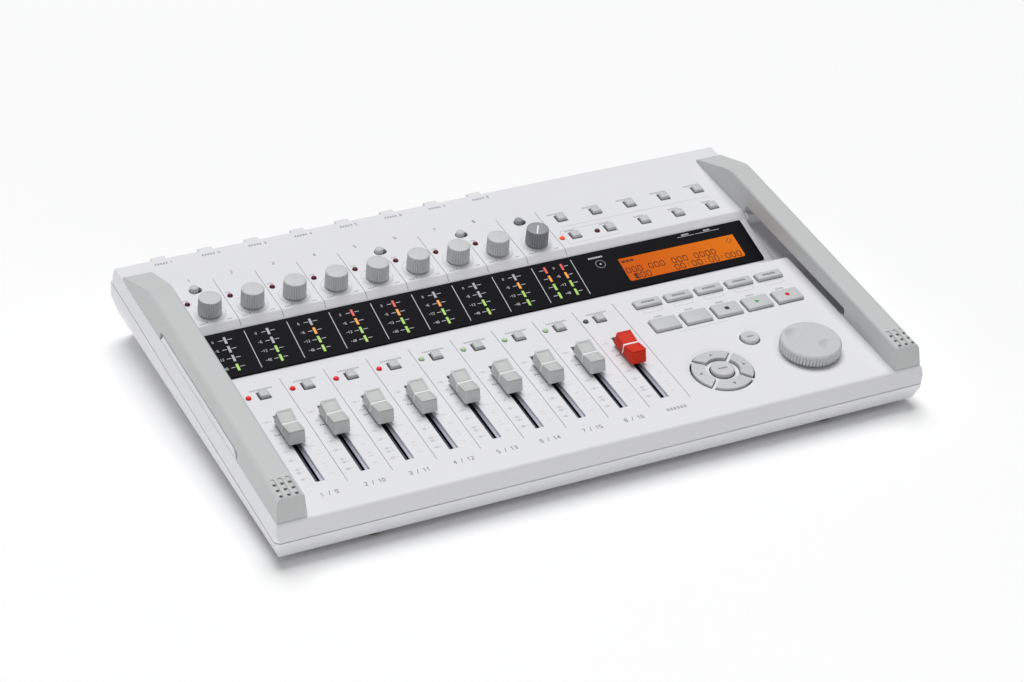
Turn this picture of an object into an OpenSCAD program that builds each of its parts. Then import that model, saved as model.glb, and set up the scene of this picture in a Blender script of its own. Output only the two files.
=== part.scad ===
// Digital multitrack recorder: a tilted control panel between two carrying handles.
// Millimetres. X runs to the right, Y to the rear and Z up. The feet stand on Z = 0.
// Panel pieces are placed in the panel's own frame: its origin is under the middle of the panel, at the
// lower edge of the tapered band, and its Z axis is square to the panel.

/* [Case] */
// Width of the case at the split line
case_w = 376; // [370:1:390]
// Depth of the case at the split line
case_d = 237; // [234:1:250]
// Height of the tapered band, from its lower edge to the split line
band_h = 11.3; // [11:0.1:14]
// Height of the upper case above the split line
upper_h = 9.7; // [9.4:0.1:12]
// Thickness of the case walls
wall = 2.5; // [2.2:0.1:2.8]
// Tilt of the panel towards the user, in degrees
tilt = 5.2; // [4.6:0.1:6]
// Height of the band's lower edge above the table, at the front
front_gap = 3.5; // [3.2:0.1:5]
// How far the band tapers in at its lower edge
taper = 3.5; // [2.5:0.1:4]
// How far the hull under the band runs in, for each millimetre of depth
hull_slope = 0.8; // [0.7:0.01:0.85]
// Radius of the case's corners in plan
corner_r = 4; // [3:0.5:6]
// How far the front wall leans in, from the split line up to the panel
front_lean = 3; // [2:0.1:3.5]
// How far the rear wall leans in, from the split line up to the panel
rear_lean = 3; // [2:0.1:3.2]
// How far each side wall leans in, from the split line up to the panel
side_lean = 1.7; // [1.2:0.1:1.8]
// Fall of the band's lower edge along the sides, towards the rear, in degrees
band_fall = 2.2; // [1.6:0.1:2.4]
// Radius of the panel's front edge
front_r = 2; // [1:0.1:3]
// Radius of the panel's side and rear edges
edge_r = 0.8; // [0.6:0.1:1.2]
// Height of the groove along the split line
groove_h = 0.5; // [0.3:0.1:0.8]
// Depth of the groove along the split line
groove_depth = 0.6; // [0.4:0.1:1]

/* [Feet and screws] */
// Height of the rubber feet below the case
foot_h = 3; // [2.5:0.1:3.2]
// Radius of the rubber feet
foot_r = 8; // [6:0.5:10]
// How far a foot is let into the case
foot_seat = 1; // [0.6:0.1:1.4]
// Distance of the feet from the middle, to each side
foot_x = 132; // [120:1:140]
// Distance of the front feet from the front of the case
foot_front_margin = 14.5; // [13.5:0.5:18]
// Distance of the rear feet from the rear of the case
foot_rear_margin = 20.5; // [18:0.5:26]
// Radius of a case screw's shank
screw_r = 1.5; // [1.2:0.1:1.7]
// Radius of a case screw's head
screw_head_r = 2.8; // [2.5:0.1:3.2]
// Height of a case screw's head
screw_head_h = 2.2; // [1.8:0.1:2.6]
// Length of a case screw's shank
screw_len = 12.5; // [11:0.5:13]
// Wall of a screw boss around its bore
boss_wall = 2; // [1.6:0.1:2.4]
// Height above the table where screw bosses meet the posts
boss_seat_z = 10; // [9.5:0.1:11]

/* [Handles] */
// Distance of a handle's front end from the front of the case
handle_front_margin = 4.2; // [3.8:0.1:5.5]
// Distance of a handle's rear end from the rear of the case
handle_rear_margin = 14.6; // [8:0.1:18]
// Width of a handle at its foot
handle_w = 16.5; // [15:0.1:17]
// Height of a handle above the panel, at the rear of its grip
handle_h = 16; // [15:0.1:16.6]
// Height of a handle above the panel, at its front end
handle_front_h = 13; // [12.2:0.1:13.6]
// Distance of a handle's foot from the side of the case
handle_inset = 1.8; // [1.5:0.1:2.5]
// Length of the sloping rear end
handle_rear_ramp = 36; // [32:1:40]
// Length of the sloping front end
handle_front_ramp = 2.8; // [2:0.1:4]
// Distance of the finger gap from the front of the case
grip_front_margin = 56.5; // [52.5:0.5:63]
// Distance of the finger gap from the rear of the case
grip_rear_margin = 71.5; // [66.5:0.5:74]
// Height of the finger gap above the panel
grip_gap = 5; // [4.8:0.1:6]
// Width of the finger scoop
scoop_w = 13.5; // [12:0.1:14]
// Radius of a microphone capsule
capsule_r = 4.85; // [4:0.05:5.2]
// Height of a microphone capsule
capsule_h = 5; // [4:0.1:6]
// Distance of a microphone from the front of the case
capsule_margin = 13.3; // [13:0.1:15]
// Spacing of the microphone holes across the handle
grille_pitch_x = 4.1; // [3.6:0.05:4.2]
// Spacing of the microphone holes along the handle
grille_pitch_y = 4.4; // [3.8:0.1:4.6]
// Length of the shallow grooves through the microphone holes
grille_groove = 17; // [16:0.5:18]
// Radius of a microphone hole
grille_r = 0.9; // [0.6:0.1:1.1]
// Distance of the handle screws from the front and rear of the case
handle_screw_margin = 42.5; // [40:0.5:46]
// Radius of a handle screw's shank
handle_screw_r = 1.2; // [1:0.1:1.4]

/* [Display strip] */
// Margin between the display window and the side of the case
window_margin = 22.5; // [21:0.5:28]
// How far the window's front edge lies in front of the middle between the track keys and the knobs
strip_forward = 7.2; // [6.4:0.1:8.2]
// Length of the display window along its slope
strip_len = 31.1; // [30.5:0.1:32]
// Slope of the display window towards the user, in degrees
strip_tilt = 13; // [12:0.1:14]
// Depth of the window's front edge below the panel
strip_drop = 9.6; // [9:0.1:10]
// Thickness of the display window
window_t = 1.6; // [1.4:0.1:2]
// How far the window stands above the floor of its valley
window_proud = 1; // [0.6:0.1:1.2]
// Width of the ledge in front of the window
ledge = 1.8; // [1:0.1:2]
// Slope of the ramp between the ledge and the fader area, in degrees
ramp_angle = 40; // [38:1:46]
// Radius of the lip at the top of the ramp
lip_r = 6; // [3:0.5:8]
// Width of the display
lcd_w = 74.7; // [70:0.1:76]
// Height of the display along the slope
lcd_d = 17.6; // [16:0.1:18]
// Width of a level-meter bar
bar_w = 1.4; // [1.2:0.1:2]
// Length of a level-meter bar
bar_d = 4.6; // [4:0.1:5]
// Spacing of the level-meter bars along the slope
bar_pitch = 6.4; // [5.8:0.1:6.6]
// Distance of the two master meters from their middle
master_meter_x = 5.1; // [4:0.1:6]

/* [Channels] */
// Distance of the first channel from the left side of the case
channel_margin = 34.7; // [34:0.1:36]
// Spacing of the channels
channel_pitch = 24.41; // [24:0.01:24.6]
// Place of the faders' zero mark
fader_y = -51.7; // [-53:0.1:-50.5]
// Fader travel to the rear of the zero mark
fader_up = 13; // [11.5:0.1:13.4]
// Fader travel to the front of the zero mark
fader_down = 35.8; // [33:0.1:36.6]
// Width of a fader slot
slot_w = 4.8; // [3.5:0.1:5.5]
// Width of a fader cap at its foot
cap_w = 9.1; // [8:0.1:11]
// Length of a fader cap at its foot
cap_d = 21.6; // [20:0.1:23]
// Height of a fader cap's ends above the panel
cap_h = 9.3; // [8.8:0.1:10]
// Height of a fader cap's saddle above the panel
saddle_h = 7.6; // [6.5:0.1:8]
// Distance of the input knobs from the rear of the case
knob_margin = 58.7; // [58:0.1:59.4]
// Sideways offset of the knobs from the faders
knob_shift = 0.1; // [0:0.1:1]
// Radius of a knob at its foot
knob_r = 6.5; // [5.5:0.1:7.5]
// Height of a knob
knob_h = 10; // [8:0.1:12]
// Radius of a knob's shaft
shaft_r = 3; // [2.5:0.1:3.2]
// Place of the track keys and lamps
track_y = -17.2; // [-18:0.1:-16]
// Distance of a channel's lamp from its key or switch
lamp_offset = 8.5; // [8:0.1:9.5]
// Distance of the peak lamps behind the knobs
peak_back = 10.6; // [10.2:0.1:11.2]
// Radius of a lamp
lamp_r = 1.4; // [1:0.1:1.6]
// Distance of the slide switches behind the knobs
switch_back = 21.6; // [20.8:0.1:22]
// Radius of a slide switch's nub
nub_r = 2.4; // [2:0.1:3]
// Height of a slide switch's nub above the panel
nub_h = 2.4; // [1.5:0.1:3]
// Travel of a slide switch
nub_travel = 1.6; // [1:0.1:2]

/* [Keys] */
// Distance of the first transport key from the master fader
transport_x = 31.1; // [30:0.1:31.6]
// Place of the transport keys
transport_y = -34.5; // [-36:0.1:-33]
// Spacing of the transport and marker keys
transport_pitch = 19.25; // [19:0.05:19.5]
// Width of a transport or marker key
transport_w = 15.8; // [14:0.1:16.2]
// Depth of a transport key
transport_d = 10.2; // [9:0.1:11]
// Place of the marker keys
marker_y = -13.9; // [-14.5:0.1:-13]
// Depth of a marker key
marker_d = 5.8; // [5:0.1:6.5]
// Width and depth of a small square key
small_key = 6; // [5:0.1:6.6]
// Distance of the first menu key in front of the first transport key
menu_x = -6.7; // [-7:0.1:-6]
// Spacing of the menu keys
menu_pitch = 22.25; // [22:0.05:22.4]
// Distance of the upper row of menu keys behind the knobs
menu_upper_back = 17.5; // [16.8:0.1:18]
// Distance of the lower row of menu keys in front of the knobs
menu_lower_forward = 0.5; // [0:0.1:1.2]
// Height of the keys above the panel
key_h = 1.9; // [1.2:0.1:2.5]
// Bevel around the top of a key
key_bevel = 0.6; // [0.3:0.1:0.9]
// Travel of a key
key_travel = 0.8; // [0.4:0.1:0.9]
// Place of the cursor ring and the dial
pad_y = -81.4; // [-82:0.1:-80.5]
// Outer radius of the cursor ring
ring_r = 17.2; // [16:0.1:17.5]
// Inner radius of the cursor ring
ring_inner_r = 9.6; // [9.2:0.1:10]
// Gap between neighbouring cursor keys
ring_gap = 2.4; // [2.2:0.1:3]
// Radius of the key in the middle of the cursor ring
enter_r = 6.7; // [5.5:0.1:6.9]
// Radius of the exit key
exit_r = 5.4; // [4.5:0.1:6]
// Distance of the dial from the first transport key
dial_shift = 63.4; // [63:0.1:64]
// Radius of the dial
dial_r = 16.9; // [15:0.1:17.5]
// Height of the dial's top above the panel
dial_h = 6.9; // [6:0.1:8]
// Radius of a finger dimple in the dial
dimple_r = 5; // [3.5:0.1:5.4]

/* [Rear and side] */
// Distance of the first input jack from the left side of the case
input_margin = 28; // [27.5:0.1:29]
// Spacing of the input jacks
input_pitch = 27.4; // [26:0.1:27.6]
// Height of the input jacks' middle above the table
input_z = 27; // [26.5:0.1:27.5]
// Radius of an input jack's barrel
barrel_r = 11.7; // [11:0.1:12]
// Radius of a plug's bore in the jacks
plug_r = 3.25; // [3.2:0.01:3.35]
// Length of a plug's bore in the jacks
plug_len = 22; // [20:0.5:22]
// How far the jack tabs and nuts stand out of the rear wall
rear_reach = 2.5; // [2.4:0.1:4]
// Width of the battery bay
bay_w = 154; // [152:1:158]
// Depth of the battery bay
bay_d = 31; // [30:0.5:31.5]
// Front edge of the battery bay
bay_y = 27; // [26:0.5:28]
// Height of the battery bay above its door
bay_h = 16; // [15:0.5:16.5]
// Thickness of the battery door
door_t = 2; // [1.8:0.1:2.2]

/* [Fits] */
// Clearance around a key in its hole, and between fixed pieces that plug together
key_fit = 0.3; // [0.2:0.05:0.35]
// Clearance under the panel above a key's flange
flange_gap = 0.2; // [0.1:0.05:0.3]
// Running clearance of a shaft in its bore
run_fit = 0.06; // [0.03:0.01:0.08]
// Clearance of a piece that slides or turns past another
slide_fit = 0.4; // [0.3:0.05:0.5]
// Clearance of a small pressed or screwed fit
snug_fit = 0.05; // [0.02:0.01:0.08]

/* [Hidden] */
$fn = 48;
half_w = case_w / 2;
half_d = case_d / 2;
dish_w = 3;
console_w = transport_x + dial_shift + dial_r + dish_w + handle_w + handle_inset;
channels = floor((case_w - channel_margin - console_w) / channel_pitch);

// Colours
white = [0.91, 0.91, 0.93];
grey = [0.78, 0.79, 0.79];
dark_grey = [0.45, 0.46, 0.48];
black = [0.1, 0.1, 0.11];
red = [0.84, 0.2, 0.16];
orange = [0.87, 0.42, 0.12];
board_green = [0.13, 0.36, 0.22];
steel = [0.7, 0.7, 0.72];

// Places along the panel
knob_y = half_d - knob_margin;
peak_y = knob_y + peak_back;
switch_y = knob_y + switch_back;
menu_upper_y = knob_y + menu_upper_back;
menu_lower_y = knob_y - menu_lower_forward;
strip_y = (track_y + knob_y) / 2 - strip_forward;
foot_front_y = -half_d + foot_front_margin;
foot_rear_y = half_d - foot_rear_margin;
handle_front_y = -half_d + handle_front_margin;
handle_rear_y = half_d - handle_rear_margin;
handle_screw_y = half_d - handle_screw_margin;
grip_front_y = -half_d + grip_front_margin;
grip_rear_y = half_d - grip_rear_margin;
capsule_y = -half_d + capsule_margin;

// Heights in the panel's frame
split_z = band_h;
panel_z = band_h + upper_h;
under_z = panel_z - wall;
hull_depth = 30;
cut = 1;

// Where the panel's frame lies
front_reach = half_d * cos(tilt) + split_z * sin(tilt);
split_rear = half_d * cos(tilt) - split_z * sin(tilt);
shift_y = (front_reach - split_rear - rear_reach) / 2;
shift_z = front_gap + (half_d - taper) * sin(tilt);
rear_y = shift_y + split_rear;
floor_z = foot_h + wall;

function row_y(y, z) = shift_y + y * cos(tilt) - z * sin(tilt);
function row_z(y, z) = shift_z + y * sin(tilt) + z * cos(tilt);
function row_point(y, z) = [row_y(y, z), row_z(y, z)];

// Display strip: its frame has its origin at the middle of the window's top face
strip_mid_y = strip_y + strip_len / 2 * cos(strip_tilt);
strip_mid_z = panel_z - strip_drop + strip_len / 2 * sin(strip_tilt);
window_w = case_w - 2 * window_margin;
window_rim = 5;
valley_fit = 0.5;
valley_rear_ramp = 4.5;
valley_front = strip_y - ledge;
valley_rear = strip_y + strip_len * cos(strip_tilt) + valley_fit;
lip_y = valley_front - (panel_z - valley_floor(valley_front)) / tan(ramp_angle);
valley_half_w = half_w - handle_inset - handle_w + 1;
strip_board_t = 1.6;
strip_board_n = -window_proud - wall;
lcd_shift = 45.8;
lcd_x = transport_key_x(0) + lcd_shift;
lcd_s = -1.9;
access_shift = -2.8;
access_x = transport_key_x(0) + access_shift;
access_s = 5.8;
bars = 4;
bar_s = 9.7;
meter_shift = 0.7;

// Finger scoops
scoop_gap = 0.4;
scoop_end = 3;
rim_w = 2.1;
rim_gap = 0.5;
rim_ramp = 4;

// Boards, in the panel's frame
board_t = 1.6;
control_board_drop = 11;
knob_board_drop = 9.5;
control_board_z = panel_z - control_board_drop;
knob_board_z = panel_z - knob_board_drop;
board_margin = 20;
board_half_w = half_w - board_margin;
board_gap = 2.6;
control_board_front = -100;
control_board_rear = -6;
knob_board_front = valley_rear + wall + board_gap;
knob_board_rear = switch_y + 6.6;
post_margin = 24;
control_posts = [[-half_w + post_margin, -30], [-half_w + post_margin, -88],
                 [half_channel_x(channels), -62], [half_channel_x(channels), -20],
                 [half_w - post_margin - 2, -52]];
knob_posts = [[-half_w + post_margin - 1, knob_y - 4.8], [half_channel_x(channels), knob_y - 5.8],
              [half_w - post_margin - 1, knob_y + 7.2]];
board_post_r = 3;

// Fader units
unit_w = 9;
unit_gap = 0.5;
unit_sheet = 1.2;
lever_t = 1.2;
lever_d = 5;
carriage_w = 6;
carriage_d = 9;
unit_front_y = fader_y - fader_down - carriage_d / 2 - slide_fit - unit_sheet;
unit_rear_y = fader_y + fader_up + carriage_d / 2 + slide_fit + unit_sheet;
slot_end = lever_d / 2 + 1.3;
cap_gap = 2;
cap_lean = 1.6;
cap_side_lean = 0.25;

// Knobs and dial
knob_gap = 0.5;
knob_turn = 150;
pointer = [1, 8.4, 0.3];
pointer_back = 2.9;
pot_w = 10;
pot_d = 11;
pot_top_gap = 0.5;
pot_bore = 5;
shaft_hole_fit = 0.6;
dish_depth = 0.5;
dial_place = [transport_key_x(0) + dial_shift, pad_y];
dimple_reach = 9.7;
dimple_angle = -50;
dimple_depth = 0.9;

// Keys
flange_t = 1;
flange_out = 0.9;
plunger_r = 1.4;
plunger_len = 1;
tact_w = 6;
tact_gap = 0.2;
tact_top_z = under_z - flange_gap - flange_t - plunger_len - key_travel - tact_gap;
pad_shift = 9.2;
exit_shift = 37.6;
exit_back = 19.9;
pad_place = [transport_key_x(0) + pad_shift, pad_y];
exit_place = [transport_key_x(0) + exit_shift, pad_y + exit_back];
track_count = channels + 1;
transport_count = 5;
menu_count = 5;
ring_mid_r = (ring_r + ring_inner_r) / 2;
lamp_stand = 0.4;
status_lamps = [[menu_key_x(0) - lamp_offset, menu_lower_y - 0.5],
                [menu_key_x(1) - lamp_offset, menu_lower_y - 0.5]];

// Slide switches
switch_shift = 0.25;
switch_xs = [channel_x(0), half_channel_x(channels - 4) - 0.9, half_channel_x(channels - 2),
             channel_x(channels)];
switch_places = [for (x = switch_xs) [x + switch_shift, switch_y]];
switch_plate = [9.4, 8, 0.8];
switch_body = [9, 6.4];
switch_stem = 1.6;
switch_stem_len = 1;

// Rear wall
main_board_z = 9.9;
main_board_top = main_board_z + board_t;
main_board_d = 28;
main_post_margin = 60;
jack_gap = 1.8;
main_board_front = rear_y - wall - slide_fit - main_board_d;
jack_face_y = rear_y - wall - jack_gap;
input_rise = 12.6;
input_body = [23.4, 23, input_z + input_rise - main_board_top];
shell_r = 9.6;
shell_groove = 1.6;
shell_depth = 12;
contact_r = 1.3;
contact_ring = 5.9;
contact_depth = 10;
tab_w = 8;
tab_rise = 11.4;
tab_h = 4.6;
tab_z = [input_z + tab_rise, input_z + tab_rise + tab_h];
tab_root = 5;
jack_body = [16, 30, 16];
nose_r = 4.6;
nut_r = 7;
jack_z = main_board_top + jack_body[2] / 2;
inlet_margin = 23;
power_margin = 38.5;
output_margin = 67;
jack_side_gap = 1;
phones_gap = 4;
inlet_x = half_w - inlet_margin;
power_x = half_w - power_margin;
jack_pitch = jack_body[0] + jack_side_gap;
output_xs = [half_w - output_margin - jack_pitch, half_w - output_margin];
volume_x = output_xs[0] - jack_pitch;
phones_x = volume_x - jack_body[0] - phones_gap;
inlet_body = [10, 14, 11];
inlet_r = 3;
inlet_pin_r = 1;
inlet_z = main_board_top + inlet_body[2] / 2;
volume_r = 4.6;
volume_len = 8;
volume_well_r = 6.6;
volume_well_depth = 6;
volume_shaft_len = 7;
power_nub = [4, 3.6];
power_nub_reach = 1.6;
power_travel = 4;
power_plate = [14, 0.9, 7];
power_body = [13, 7, 11];
power_z = main_board_top + power_body[2] / 2;

// Ports on the right side, in the panel's frame
port_face_x = half_w - taper - 0.6;
port_board_z = 1;
port_board_t = 1.4;
port_depth = 15;
port_shell = 0.8;
usb_a = [13.2, 6.2];
usb_a_y = -22;
usb_b = [8.6, 4.6];
usb_b_y = -4;
card_slot = [24.6, 2.4];
card_y = -55;
port_board_y = [-72, 4];
port_posts = [-64, -12];

// Battery bay
bay_wall = 1.6;
door_lip = 2.4;
door_gap = 0.4;
door_y = bay_y - door_lip;
door_w = bay_w + 2 * door_lip;
door_d = bay_d + 2 * door_lip;
door_axis = [door_y + door_d - door_t / 2, foot_h + door_t / 2];
door_pin_r = 0.7;
door_pin_len = 1.6;
door_notch_w = 16;

// Screws
boss_r = screw_r + boss_wall;
post_r = screw_head_r + 1.8;
counterbore = screw_head_h + 1.6;
screw_margin = 23.5;
screw_front_margin = 11.5;
screw_front_y = -half_d + screw_front_margin;
screw_rear_y = switch_y - 1.4;
screw_xs = [-half_w + screw_margin, half_channel_x(channels - 5), half_channel_x(channels),
            half_w - screw_margin];
screw_places = [for (y = [screw_front_y, screw_rear_y]) for (x = screw_xs) [x, y]];
handle_x = half_w - handle_inset - handle_w / 2;
handle_boss_r = 3;
handle_steps = 10;
handle_screw_head = [2.6, 1.8];
handle_screw_len = 9;
capsule_x = half_w - 10;
capsule_z = 3;
grille_room = 1.4;
grille_groove_r = 1.15;
groove_dip = 0.4;

function channel_x(i) = -half_w + channel_margin + channel_pitch * i;
function half_channel_x(i) = channel_x(i) + channel_pitch / 2;
function knob_x(i) = channel_x(i) + knob_shift;
function transport_key_x(j) = channel_x(channels) + transport_x + transport_pitch * j;
function menu_key_x(j) = channel_x(channels) + transport_x + menu_x + menu_pitch * j;
function input_x(i) = -half_w + input_margin + input_pitch * i;
function bar_place(k) = bar_s - bar_pitch * k;
function meter_x(i) = channel_x(i) + meter_shift;
function meter_columns() = concat(
  [for (i = [0 : channels - 1]) meter_x(i)],
  [meter_x(channels) - master_meter_x, meter_x(channels) + master_meter_x]);
function track_lamps() = [for (i = [0 : track_count - 1]) [channel_x(i) - lamp_offset, track_y]];
function peak_lamps() = [for (i = [0 : channels - 1]) [channel_x(i) - lamp_offset, peak_y]];

// Rounded polygons
function unit(v) = v / norm(v);
function corner_arc(before, corner, after, r, steps) =
  let(a = unit(before - corner),
      b = unit(after - corner),
      half = acos(a * b) / 2,
      centre = corner + unit(a + b) * r / sin(half),
      start = corner + a * r / tan(half) - centre,
      end = corner + b * r / tan(half) - centre,
      angle = atan2(start[1], start[0]),
      sweep = (atan2(end[1], end[0]) - angle + 540) % 360 - 180)
  [for (i = [0 : steps]) centre + r * [cos(angle + sweep * i / steps), sin(angle + sweep * i / steps)]];
function rounded(points, radii, steps = 6) =
  let(n = len(points))
  [for (i = [0 : n - 1])
    each radii[i] > 0
      ? corner_arc(points[(i + n - 1) % n], points[i], points[(i + 1) % n], radii[i], steps)
      : [points[i]]];
function bevelled(width, low, high, bevel) =
  [[-width / 2, low], [width / 2, low], [width / 2, high - bevel], [width / 2 - bevel, high],
   [-width / 2 + bevel, high], [-width / 2, high - bevel]];

// Frames and plain shapes
module on_panel() {
  translate([0, shift_y, shift_z]) rotate([tilt, 0, 0]) children();
}

module on_strip() {
  on_panel() translate([0, strip_mid_y, strip_mid_z]) rotate([strip_tilt, 0, 0]) children();
}

module prism_x(length) {
  rotate([90, 0, 90]) linear_extrude(length, center = true) children();
}

module prism_y(length) {
  rotate([90, 0, 0]) linear_extrude(length, center = true) children();
}

module rod_y(r, y_from, y_to) {
  translate([0, y_from, 0]) rotate([-90, 0, 0]) cylinder(r = r, h = y_to - y_from);
}

module block(size, z) {
  translate([-size[0] / 2, -size[1] / 2, z]) cube(size);
}

module rounded_rect(w, d, r) {
  square([w - 2 * r, d], center = true);
  square([w, d - 2 * r], center = true);
  for (x = [-1, 1]) for (y = [-1, 1]) translate([x * (w / 2 - r), y * (d / 2 - r)]) circle(r);
}

module long_hole(length, r) {
  square([length - 2 * r, 2 * r], center = true);
  for (x = [-1, 1]) translate([x * (length / 2 - r), 0]) circle(r);
}

// Case blocks: the outside at no inset, the hollow at the inset of one wall
module upper_block(inset, low) {
  high = panel_z - inset;
  depth = half_d - inset;
  width = half_w - inset;
  part = (high - split_z) / upper_h;
  soft = max(edge_r - inset, 0);
  front_soft = max(front_r - inset, 0);
  intersection() {
    prism_x(case_w) polygon(rounded(
      [[-depth, -hull_depth], [depth, -hull_depth], [depth, split_z], [depth - rear_lean * part, high],
       [-depth + front_lean * part, high], [-depth, split_z]],
      [0, 0, 0, soft, front_soft, 0]));
    prism_y(case_d) polygon(rounded(
      [[-width, -hull_depth], [width, -hull_depth], [width, split_z], [width - side_lean * part, high],
       [-width + side_lean * part, high], [-width, split_z]],
      [0, 0, 0, soft, soft, 0]));
    translate([0, 0, low]) linear_extrude(high - low) rounded_rect(2 * width, 2 * depth, corner_r - inset);
  }
}

module lower_block(inset, high) {
  width = half_w - inset;
  depth = half_d - inset;
  low_w = width - taper - hull_slope * hull_depth;
  low_front = row_point(-depth + taper + hull_depth, -hull_depth);
  intersection() {
    on_panel() translate([0, -half_d, split_z]) rotate([-band_fall, 0, 0]) prism_y(3 * case_d)
      polygon([[width, 2 * band_h], [width, 0], [width - taper, -band_h], [low_w, -band_h - hull_depth],
               [-low_w, -band_h - hull_depth], [-width + taper, -band_h], [-width, 0], [-width, 2 * band_h]]);
    prism_x(case_w) intersection() {
      polygon([row_point(-depth, high), row_point(-depth, split_z), row_point(-depth + taper, 0), low_front,
               [rear_y - inset, low_front[1]], [rear_y - inset, row_z(half_d, high)]]);
      translate([-case_d, foot_h + inset]) square([2 * case_d, case_d]);
    }
    on_panel() translate([0, 0, -hull_depth]) linear_extrude(hull_depth + high)
      rounded_rect(2 * width, 2 * (half_d + hull_depth), corner_r - inset);
    on_panel() translate([0, hull_depth, -hull_depth]) linear_extrude(hull_depth + high)
      rounded_rect(2 * width, 2 * (depth + hull_depth), corner_r - inset);
  }
}

module split_groove() {
  on_panel() translate([0, 0, split_z - groove_h / 2]) linear_extrude(groove_h) difference() {
    square([2 * case_w, 2 * case_d], center = true);
    rounded_rect(case_w - 2 * groove_depth, case_d - 2 * groove_depth, corner_r - groove_depth);
  }
}

// Valley of the display strip
function valley_floor(y) =
  panel_z - strip_drop - window_proud / cos(strip_tilt) + (y - strip_y) * tan(strip_tilt);

module valley_cut() {
  top = panel_z + cut;
  prism_x(2 * valley_half_w)
    polygon(rounded(
      [[valley_rear, valley_floor(valley_rear)], [valley_front, valley_floor(valley_front)],
       [lip_y, panel_z], [lip_y - lip_r, panel_z], [lip_y - lip_r, top],
       [valley_rear + valley_rear_ramp, top], [valley_rear + valley_rear_ramp, panel_z]],
      [0, 1, lip_r, 0, 0, 0, 0]));
}

module valley_tub() {
  high = panel_z - wall / 2;
  prism_x(2 * (valley_half_w + wall))
    polygon([[valley_rear + wall, valley_floor(valley_rear + wall) - wall],
             [valley_front - wall, valley_floor(valley_front - wall) - wall],
             [lip_y - wall - lip_r / 3, high], [valley_rear + valley_rear_ramp + wall, high]]);
}

// Finger scoops under the handles
module scoop(grow, top) {
  y_front = grip_front_y + scoop_end;
  y_rear = grip_rear_y - scoop_end;
  low = split_z + scoop_gap + wall;
  x_outer = half_w - handle_inset - wall;
  for (side = [-1, 1])
    translate([side * (x_outer - scoop_w / 2), (y_front + y_rear) / 2, low - grow])
      linear_extrude(top - low + grow)
        square([scoop_w + 2 * grow, y_rear - y_front + 2 * grow], center = true);
}

// Rims that close the outer side of the finger gaps
module grip_rims() {
  y_front = grip_front_y + rim_gap;
  y_rear = grip_rear_y - rim_gap;
  high = panel_z + grip_gap - rim_gap;
  for (side = [-1, 1]) translate([side * (half_w - handle_inset - rim_w / 2 - 0.3), 0, 0]) prism_x(rim_w)
    polygon([[y_front, panel_z - 1], [y_rear, panel_z - 1], [y_rear - rim_ramp, high],
             [y_front + rim_ramp, high]]);
}

// Vertical columns for the case screws
module columns(r, z_from, z_to) {
  for (p = screw_places) translate([p[0], p[1], z_from]) cylinder(r = r, h = z_to - z_from);
}

module board_posts(places, z) {
  for (p = places) translate([p[0], p[1], z]) cylinder(r = board_post_r, h = panel_z - wall / 2 - z);
}

// Cuts through the panel, in the panel's frame
module key_hole(w, d) {
  block([w + 2 * key_fit, d + 2 * key_fit, wall + 2 * cut], under_z - cut);
}

module panel_cuts() {
  for (i = [0 : track_count - 1]) {
    translate([channel_x(i), 0, 0]) fader_slot();
    translate([channel_x(i), track_y, 0]) key_hole(small_key, small_key);
    translate([knob_x(i), knob_y, under_z - cut])
      cylinder(r = shaft_r + shaft_hole_fit, h = wall + 2 * cut);
  }
  for (p = concat(track_lamps(), peak_lamps(), status_lamps))
    translate([p[0], p[1], under_z - cut]) cylinder(r = lamp_r + key_fit / 2, h = wall + 2 * cut);
  for (j = [0 : transport_count - 1]) {
    translate([transport_key_x(j), transport_y, 0]) key_hole(transport_w, transport_d);
    translate([transport_key_x(j), marker_y, 0]) key_hole(transport_w, marker_d);
  }
  for (j = [0 : menu_count - 1]) {
    translate([menu_key_x(j), menu_upper_y, 0]) key_hole(small_key, small_key);
    translate([menu_key_x(j), menu_lower_y, 0]) key_hole(small_key, small_key);
  }
  for (p = switch_places) translate([p[0], p[1], under_z - cut]) linear_extrude(wall + 2 * cut)
    long_hole(nub_travel + 2 * (nub_r + slide_fit), nub_r + slide_fit);
  translate([pad_place[0], pad_place[1], under_z - cut]) {
    for (turn = [0 : 90 : 270]) rotate([0, 0, turn]) linear_extrude(wall + 2 * cut) ring_sector(key_fit);
    cylinder(r = enter_r + key_fit, h = wall + 2 * cut);
  }
  translate([exit_place[0], exit_place[1], under_z - cut]) cylinder(r = exit_r + key_fit, h = wall + 2 * cut);
  translate([pad_place[0], pad_place[1], 0]) dish(ring_r);
  translate([dial_place[0], dial_place[1], 0]) dish(dial_r);
  translate([dial_place[0], dial_place[1], under_z - cut])
    cylinder(r = shaft_r + shaft_hole_fit, h = wall + 2 * cut);
  for (side = [-1, 1]) for (y = [-1, 1])
    translate([side * handle_x, y * handle_screw_y, under_z - cut])
      cylinder(r = handle_boss_r + snug_fit, h = wall + 2 * cut);
}

module dish(r) {
  rotate_extrude($fn = 96)
    polygon([[0, panel_z - dish_depth], [r + 0.5, panel_z - dish_depth], [r + dish_w, panel_z],
             [r + dish_w, panel_z + cut], [0, panel_z + cut]]);
}

module fader_slot() {
  low = fader_y - fader_down - slot_end;
  high = fader_y + fader_up + slot_end;
  translate([-slot_w / 2, low, under_z - cut]) cube([slot_w, high - low, wall + 2 * cut]);
}

module ring_sector(grow) {
  side = 2 * ring_r;
  gap = ring_gap / sqrt(2) - grow * sqrt(2);
  intersection() {
    difference() {
      circle(ring_r + grow);
      circle(ring_inner_r - grow);
    }
    polygon([[gap, 0], [gap + side, side], [gap + side, -side]]);
  }
}

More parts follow.
